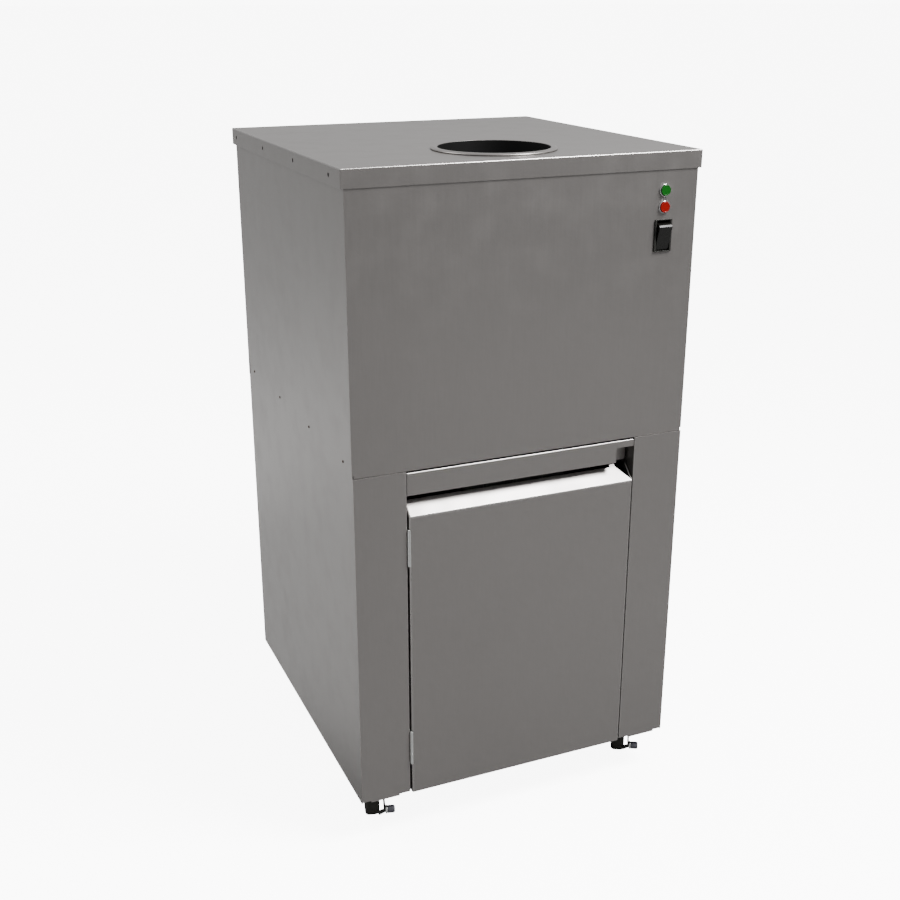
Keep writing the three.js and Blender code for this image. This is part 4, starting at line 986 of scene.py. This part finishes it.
def trap_flaps():
    for word, joint in (("front", "front_flap_hinge"), ("rear", "rear_flap_hinge")):
        low, high = span(f"{word}_trap_flap")
        _, y, z = (v / MILLIMETRE for v in joints[joint]["pos_m"])
        leaf = plate(3, softened(rectangle(low.x, high.x, low.z, z), 5, 4))
        leaf = ease(laid(leaf, RIGHT, UP, (0, y + 1.5, 0)), 0.6)
        length = (high.x - low.x) / 9
        rolls = [ease(bar(2.5, (low.x + i * length + 0.3, y, z), (low.x + (i + 1) * length - 0.3, y, z), 20), 0.3)
                 for i in range(9)]
        ribs = [ease(block((x - 4, y - 2.4, low.z + 14), (x + 4, y + 2.4, z - 12)), 0.9) for x in (-55, 0, 55)]
        piece(together(leaf, *rolls, *ribs), f"{word}_flap", ram_steel, f"{word}_flap", f"{word}_trap_flap")
        lugs = [ease(block((x - 1, y - 3, z - 3), (x + 1, y + 3, z + 4.3)), 0.5)
                for x in (low.x - 1.6, high.x + 1.6)]
        pin = ease(bar(1.1, (low.x - 3.4, y, z), (high.x + 3.4, y, z), 16), 0.2)
        piece(together(*lugs, pin), f"{word}_flap_lugs", dark_steel, "ram")


# ---------------------------------------------------------------- drive

def pitch_radius(teeth):
    return CHAIN_PITCH / (2 * math.sin(math.pi / teeth))


def tooth_outline(teeth):
    """The sprocket's edge: a round seat for each roller and a blunt tip between seats."""
    root, tip = pitch_radius(teeth) - TOOTH_HEIGHT, pitch_radius(teeth) + TOOTH_TIP
    points = []
    for i in range(teeth):
        for share, radius in ((-0.3, root), (-0.21, (root + tip) / 2), (-0.1, tip), (0.1, tip),
                              (0.21, (root + tip) / 2), (0.3, root), (0.5, root - 0.8)):
            angle = 2 * math.pi * (i + share) / teeth
            points.append((radius * math.cos(angle), radius * math.sin(angle)))
    return points


def thread(radius, core, bottom, top, lead):
    """A trapezoid ridge wound round Z."""
    turns = (top - bottom) / lead
    per_turn = 30
    half = lead * 0.3
    bm = bmesh.new()
    profile = [(core - 0.6, -half), (radius, -half * 0.55), (radius, half * 0.55), (core - 0.6, half)]
    face = bm.faces.new([bm.verts.new((r, 0, bottom + z)) for r, z in profile])
    geometry = face.verts[:] + face.edges[:] + [face]
    steps = round(turns * per_turn)
    bmesh.ops.spin(bm, geom=geometry, cent=(0, 0, 0), axis=UP, dvec=UP * (lead / per_turn),
                   angle=2 * math.pi * steps / per_turn, steps=steps)
    bmesh.ops.holes_fill(bm, edges=[e for e in bm.edges if len(e.link_faces) == 1], sides=0)
    bmesh.ops.recalc_face_normals(bm, faces=bm.faces)
    return bm


def screw():
    low, high = span("lead_screw")
    journal = span("bridge_plate")[1].z - 8
    core = [(0, low.z), (8.6, low.z), (10, low.z + 2), (10, journal - 6), (12.4, journal - 4), (12.4, high.z - 8),
            (11, high.z - 7), (11, high.z - 1), (10, high.z), (0, high.z)]
    parts = [spun(softened(core, 0.4), 40), thread(ROD_RADIUS, 10, low.z + 6, journal - 8, SCREW_LEAD)]
    piece(placed(together(*parts), (0, screw_axis.y, 0)), "threaded_screw", zinc, "screw", "lead_screw")
    low, high = span("screw_sprocket")
    holes = [circle(6.5, place, 24) for place in ring_of(6, 31)]
    disc = ease(plate(high.z - low.z, tooth_outline(SCREW_TEETH), circle(ROD_RADIUS + 0.3, (0, 0), 40), *holes), 0.4)
    hub = [(ROD_RADIUS + 0.3, -2.6), (19, -2.6), (19, high.z - low.z + 2), (ROD_RADIUS + 0.3, high.z - low.z + 2)]
    key = ease(block((ROD_RADIUS - 1, -2, 0.5), (ROD_RADIUS + 3, 2, high.z - low.z + 2.4)), 0.3)
    wheel = placed(together(disc, spun(softened(hub, 0.6), 40), key), (0, screw_axis.y, low.z))
    piece(wheel, "big_sprocket", dark_steel, "screw", "screw_sprocket")


def drive_shaft():
    low, high = span("drive_sprocket")
    level = span("screw_sprocket")[0].z
    disc = ease(plate(6, tooth_outline(DRIVE_TEETH)), 0.4)
    shaft = [(0, low.z - level), (9, low.z - level), (9, high.z - level - 1), (8, high.z - level), (0, high.z - level)]
    hub = [(0, -4), (14, -4), (14, 8), (0, 8)]
    grub = placed(button_screw(2.2, 1), (13.4, 0, -1), RIGHT)
    parts = [disc, spun(softened(shaft, 0.3), 32), spun(softened(hub, 0.8), 32), grub]
    piece(placed(together(*parts), (0, motor_axis.y, level)), "small_sprocket", dark_steel, "drive_shaft",
          "drive_sprocket")


def chain_places():
    """Where each chain roller sits and which way the chain runs there."""
    lift = TOOTH_TIP + RUNNING + 4.2
    big, small = pitch_radius(SCREW_TEETH) + lift, pitch_radius(DRIVE_TEETH) + lift
    distance = motor_axis.y - screw_axis.y
    lean = math.asin((big - small) / distance)
    straight = math.sqrt(distance ** 2 - (big - small) ** 2)
    big_arc, small_arc = big * (math.pi + 2 * lean), small * (math.pi - 2 * lean)
    total = 2 * straight + big_arc + small_arc
    count = 2 * round(total / CHAIN_PITCH / 2)
    for i in range(count):
        run = total * i / count
        if run < small_arc:
            angle = lean + run / small
            yield small * math.cos(angle), motor_axis.y + small * math.sin(angle), angle + math.pi / 2
        elif run < small_arc + straight:
            share = (run - small_arc) / straight
            angle = math.pi - lean
            x = (small + (big - small) * share) * math.cos(angle)
            y = motor_axis.y - distance * share + (small + (big - small) * share) * math.sin(angle)
            yield x, y, angle + math.pi / 2
        elif run < small_arc + straight + big_arc:
            angle = math.pi - lean + (run - small_arc - straight) / big
            yield big * math.cos(angle), screw_axis.y + big * math.sin(angle), angle + math.pi / 2
        else:
            share = (run - small_arc - straight - big_arc) / straight
            x = (big + (small - big) * share) * math.cos(lean)
            y = screw_axis.y + distance * share + (big + (small - big) * share) * math.sin(lean)
            yield x, y, lean + math.pi / 2


def chain():
    low, high = span("drive_chain")
    level = (low.z + high.z) / 2
    places = list(chain_places())
    parts = []
    for i, (x, y, _) in enumerate(places):
        parts.append(bar(3.9, (x, y, level - 2.8), (x, y, level + 2.8), 14))
        parts.append(bar(1.7, (x, y, level - 5.8), (x, y, level + 5.8), 10))
        next_x, next_y, _ = places[(i + 1) % len(places)]
        run = Vector((next_x - x, next_y - y, 0))
        half = run.length / 2
        side = circle(4.6, (half, 0), 14)
        link = [(px, py) for px, py in side if px >= half - 0.01]
        link = [p for p in link if p[1] >= 0] , [p for p in link if p[1] < 0]
        ahead = sorted(link[1], key=lambda p: p[1]) + sorted(link[0], key=lambda p: p[1])
        outline = ahead + [(0, 3.2)] + [(-px, -py) for px, py in ahead] + [(0, -3.2)]
        gap = 2.9 if i % 2 else 4.15
        for z in (level + gap, level - gap - 1.1):
            link_plate = plate(1.1, outline)
            parts.append(laid(link_plate, run.normalized(), UP.cross(run.normalized()),
                              (x + run.x / 2, y + run.y / 2, z)))
    piece(together(*parts), "roller_chain", dark_steel, "cabinet", "drive_chain")


def bearing():
    low, high = span("upper_bearing")
    bore, flange = ROD_RADIUS + RUNNING, high.x
    body = [(bore, low.z), (flange, low.z), (flange, low.z + 5), (22, low.z + 7), (21, high.z - 1.5),
            (18, high.z), (16.5, high.z - 1), (bore, high.z - 1)]
    housing = placed(spun(softened(body, 0.8), 48), (0, screw_axis.y, 0))
    bolts = [placed(hex_bolt(2.8, 3), (x, y, low.z + 5)) for x, y in ring_of(4, 25.6, (0, screw_axis.y), math.pi / 4)]
    piece(together(housing, *bolts), "bearing_housing", dark_steel, "cabinet", "upper_bearing")


def gear_motor():
    low, high = span("gearbox")
    inset = 3
    case = ease(block((low.x + inset, low.y + inset, low.z), (high.x - inset, high.y - inset, high.z)), 8, 5)
    parts = [case]
    for side, x in ((LEFT, low.x), (RIGHT, high.x)):
        lid = ease(placed(plate(3, softened(rectangle(-34, 34, -34, 34), 16, 8)), (x - side.x * 3.5, motor_axis.y,
                                                                              (low.z + high.z) / 2), side), 0.8)
        parts.append(lid)
        parts += [placed(hex_bolt(2.6, 2), (x - side.x * 2.2, motor_axis.y + dy, (low.z + high.z) / 2 + dz), side)
                  for dy, dz in ring_of(6, 28)]
    for y in (low.y + 0.4, high.y - 6.4):
        parts += [ease(block((x - 1.6, y, low.z + 12), (x + 1.6, y + 6, high.z - 12)), 0.7) for x in (-36, -18, 0, 18, 36)]
    parts.append(ease(bar(4.5, (30, low.y + 4, low.z + 20), (30, low.y - 1, low.z + 20), 6), 0.5))
    piece(together(*parts), "gear_case", motor_paint, "cabinet", "gearbox")
    low, high = span("motor")
    radius = high.x
    body = [(0, low.z + 36), (radius - 6, low.z + 36), (radius - 6, high.z - 16), (radius - 1, high.z - 14),
            (radius, high.z - 2), (radius - 4, high.z), (0, high.z)]
    fan_cover = [(0, low.z), (radius - 14, low.z), (radius - 1.5, low.z + 10), (radius, low.z + 16),
                 (radius, low.z + 36), (radius - 2, low.z + 38), (0, low.z + 38)]
    place = (0, motor_axis.y, 0)
    parts = [placed(spun(softened(body, 1.5), 64), place), placed(spun(softened(fan_cover, 1.5), 64), place)]
    for i in range(30):
        angle = 2 * math.pi * i / 30
        fin = ease(block((radius - 8, -1, low.z + 44), (radius - 0.6, 1, high.z - 20)), 0.4)
        parts.append(placed(fin, place, UP, angle))
    for i in range(4):
        angle = math.pi / 4 + i * math.pi / 2
        x, y = (radius - 3) * math.cos(angle), motor_axis.y + (radius - 3) * math.sin(angle)
        parts.append(ease(bar(3, (x, y, low.z + 34), (x, y, high.z - 1), 16), 0.6))
    box = ease(block((-radius - 22, motor_axis.y - 24, low.z + 90), (-radius + 8, motor_axis.y + 24, low.z + 150)), 3, 3)
    lid = ease(block((-radius - 25, motor_axis.y - 26, low.z + 88), (-radius - 20.5, motor_axis.y + 26, low.z + 152)),
               1.2, 3)
    screws = [placed(button_screw(2.4, 1.2), (-radius - 25, motor_axis.y + dy, low.z + 120 + dz), LEFT)
              for dy in (-20, 20) for dz in (-26, 26)]
    piece(together(*parts, box, lid, *screws), "motor_case", motor_paint, "cabinet", "motor")


# ---------------------------------------------------------------- electrics

def control_box():
    low, high = span("control_box")
    bm = bend(without_faces(block(low, (high.x, high.y - 1.5, high.z)), BACK), 2.5)
    gland_x, gland_y = high.x - 30, low.y + 30
    pierce(bm, DOWN, [(x, y, low.z) for x, y in circle(8, (gland_x, gland_y), 28)])
    tray = ease(thicken(bm))
    lid = plate(1.5, softened(rectangle(low.x, high.x, low.z, high.z), 2.5, 4))
    lid = ease(laid(lid, RIGHT, UP, (0, high.y, 0)), 0.3)
    screws = [placed(button_screw(3.2, 1.6), (x, high.y, z), BACK) for x in (low.x + 10, high.x - 10)
              for z in (low.z + 10, high.z - 10)]
    vents = [ease(block((high.x - 0.2, low.y + 22, low.z + 150 + i * 11), (high.x + 1.4, high.y - 22, low.z + 154 + i * 11)),
                  0.6) for i in range(6)]
    piece(together(tray, lid, *screws, *vents), "control_case", zinc, "cabinet", "control_box")
    gland = [(5, -12), (8, -12), (10, -10), (10, -3), (12, -2.6), (12, -0.2), (7.8, -0.2), (7.8, 4), (5, 4)]
    gland = placed(spun(softened(gland, 0.5), 32), (gland_x, gland_y, low.z))
    piece(gland, "cable_gland", black_plastic, "cabinet")


def inlet():
    low, high = span("power_inlet")
    centre = middle("power_inlet")
    mouth = softened(rectangle(-12, 12, -8, 8), 3, 4)
    ears = [circle(2.2, (x, 0), 16) for x in (-20, 20)]
    flange = plate(2.5, softened(rectangle(-25, 25, -15, 15), 4, 4), mouth, *ears)
    body = plate(high.y - low.y - 6, softened(rectangle(-15.5, 15.5, -11.5, 11.5), 2), mouth)
    floor = plate(4, softened(rectangle(-15.5, 15.5, -11.5, 11.5), 2))
    parts = [ease(laid(flange, LEFT, UP, (centre.x, high.y - 2.5, centre.z)), 0.6),
             laid(body, LEFT, UP, (centre.x, low.y + 3.8, centre.z)),
             ease(laid(floor, LEFT, UP, (centre.x, low.y, centre.z)), 0.4)]
    piece(together(*parts), "inlet_body", black_plastic, "cabinet", "power_inlet")
    blades = [ease(block((centre.x + dx - 1, low.y + 3, centre.z + dz - 2), (centre.x + dx + 1, low.y + 15, centre.z + dz + 2)),
                   0.4) for dx, dz in ((-7, -1.5), (0, 2), (7, -1.5))]
    screws = [placed(button_screw(2, 0.8), (centre.x + dx, high.y - 0.9, centre.z), BACK) for dx in (-20, 20)]
    piece(together(*blades, *screws), "inlet_contacts", zinc, "cabinet")

# ---------------------------------------------------------------- stage

CAMERA_PLACE = (-0.85998, -2.00621, 1.38106)
CAMERA_YAW = 23.166
CAMERA_DROP = 20.161
LENS = 49.47
FLOOR_SIZE = 400
FLOOR_GLOW = 8
# The floor's colour for bounced and reflected rays is painted: a darker patch to the front right and a lighter one to
# the rear left, so the cabinet's front shades darker than its left side.
FLOOR_FRONT_PAINTED_SHADE = (132, 132, 132)
FLOOR_REAR_PAINTED_LIGHT = (228, 228, 228)
WORLD_LIGHT = 0.72
WORLD_SEEN = 9


def camera():
    data = bpy.data.cameras.new("camera")
    data.lens = LENS
    data.sensor_width = 36
    data.clip_end = 600
    made = bpy.data.objects.new("camera", data)
    made.location = CAMERA_PLACE
    made.rotation_euler = (math.radians(90 - CAMERA_DROP), 0, math.radians(-CAMERA_YAW))
    bpy.context.scene.collection.objects.link(made)
    bpy.context.scene.camera = made


def floor():
    bm = bmesh.new()
    bmesh.ops.create_grid(bm, x_segments=1, y_segments=1, size=FLOOR_SIZE / 2)
    bmesh.ops.translate(bm, vec=(0, 0, -0.0004), verts=bm.verts)
    mesh = bpy.data.meshes.new("floor")
    bm.to_mesh(mesh)
    bm.free()
    recipe = Recipe("pale_floor")
    recipe.set(Base_Color=recipe.blend(rgb(238, 238, 238), rgb(243, 243, 243), recipe.noise(3)), Roughness=0.85)
    glow = recipe.node("ShaderNodeEmission", {}, {"Color": (1, 1, 1, 1), "Strength": FLOOR_GLOW})
    across = recipe.node("ShaderNodeSeparateXYZ", {}, {"Vector": recipe.place}, "X")
    ahead = recipe.node("ShaderNodeSeparateXYZ", {}, {"Vector": recipe.place}, "Y")
    # Painted shade and light on the floor, seen only by bounced rays: darker to the front right, lighter to the rear
    # left.
    tone = recipe.blend(rgb(*FLOOR_FRONT_PAINTED_SHADE), rgb(*FLOOR_REAR_PAINTED_LIGHT), recipe.band(ahead - across, 0.05, 0.5))
    bounce = recipe.node("ShaderNodeBsdfDiffuse", {}, {"Color": tone})
    lit = Wire(recipe.tree, recipe.shader.outputs[0])
    bright = recipe.node("ShaderNodeAddShader", {}, {0: lit, 1: glow})
    seen = recipe.node("ShaderNodeLightPath", {}, {}, "Is Camera Ray")
    mixed = recipe.node("ShaderNodeMixShader", {}, {0: seen, 1: bounce, 2: bright})
    recipe.tree.links.new(mixed.socket, recipe.tree.nodes["Material Output"].inputs["Surface"])
    mesh.materials.append(recipe.material)
    made = bpy.data.objects.new("floor", mesh)
    bpy.context.scene.collection.objects.link(made)


def soft_light(name, place, aim, size, power):
    data = bpy.data.lights.new(name, "AREA")
    data.shape = "DISK"
    data.size = size
    data.energy = power
    made = bpy.data.objects.new(name, data)
    made.location = place
    made.rotation_euler = (Vector(aim) - Vector(place)).to_track_quat("-Z", "Y").to_euler()
    made.visible_camera = False
    bpy.context.scene.collection.objects.link(made)


def studio():
    world = bpy.data.worlds.new("studio")
    world.use_nodes = True
    world.node_tree.nodes["Background"].inputs["Color"].default_value = (1, 1, 1, 1)
    backdrop = world.node_tree.nodes["Background"]
    rays = world.node_tree.nodes.new("ShaderNodeLightPath")
    strength = Wire(world.node_tree, rays.outputs["Is Camera Ray"]) * (WORLD_SEEN - WORLD_LIGHT) + WORLD_LIGHT
    world.node_tree.links.new(strength.socket, backdrop.inputs["Strength"])
    bpy.context.scene.world = world
    soft_light("overhead", (1.05, -1.3, 2.7), (0, -0.3, 0.6), 1.1, 225)
    soft_light("left_fill", (-1.9, 0.6, 2.4), (-1, 0.3, 0), 1.6, 45)
    soft_light("front_card", (1.5, -3.4, 0.02), (1.5, -3.4, 1), 2.6, 8)


cover_pan()
chute_collar()
upper_front()
upper_back()
side_sheets(-1, "left")
side_sheets(1, "right")
lower_back()
front_post(-1, "left")
front_post(1, "right")
header()
catch_and_interlock()
door_shell()
door_liner()
hinges()
push_button("green", green_lens)
push_button("red", red_lens)
rocker_switch()
casters()
base_and_deck()
bin_box()
bridge()
guide_rods()
ram_body()
crosshead()
trap_flaps()
screw()
drive_shaft()
chain()
bearing()
gear_motor()
control_box()
inlet()
camera()
floor()
studio()
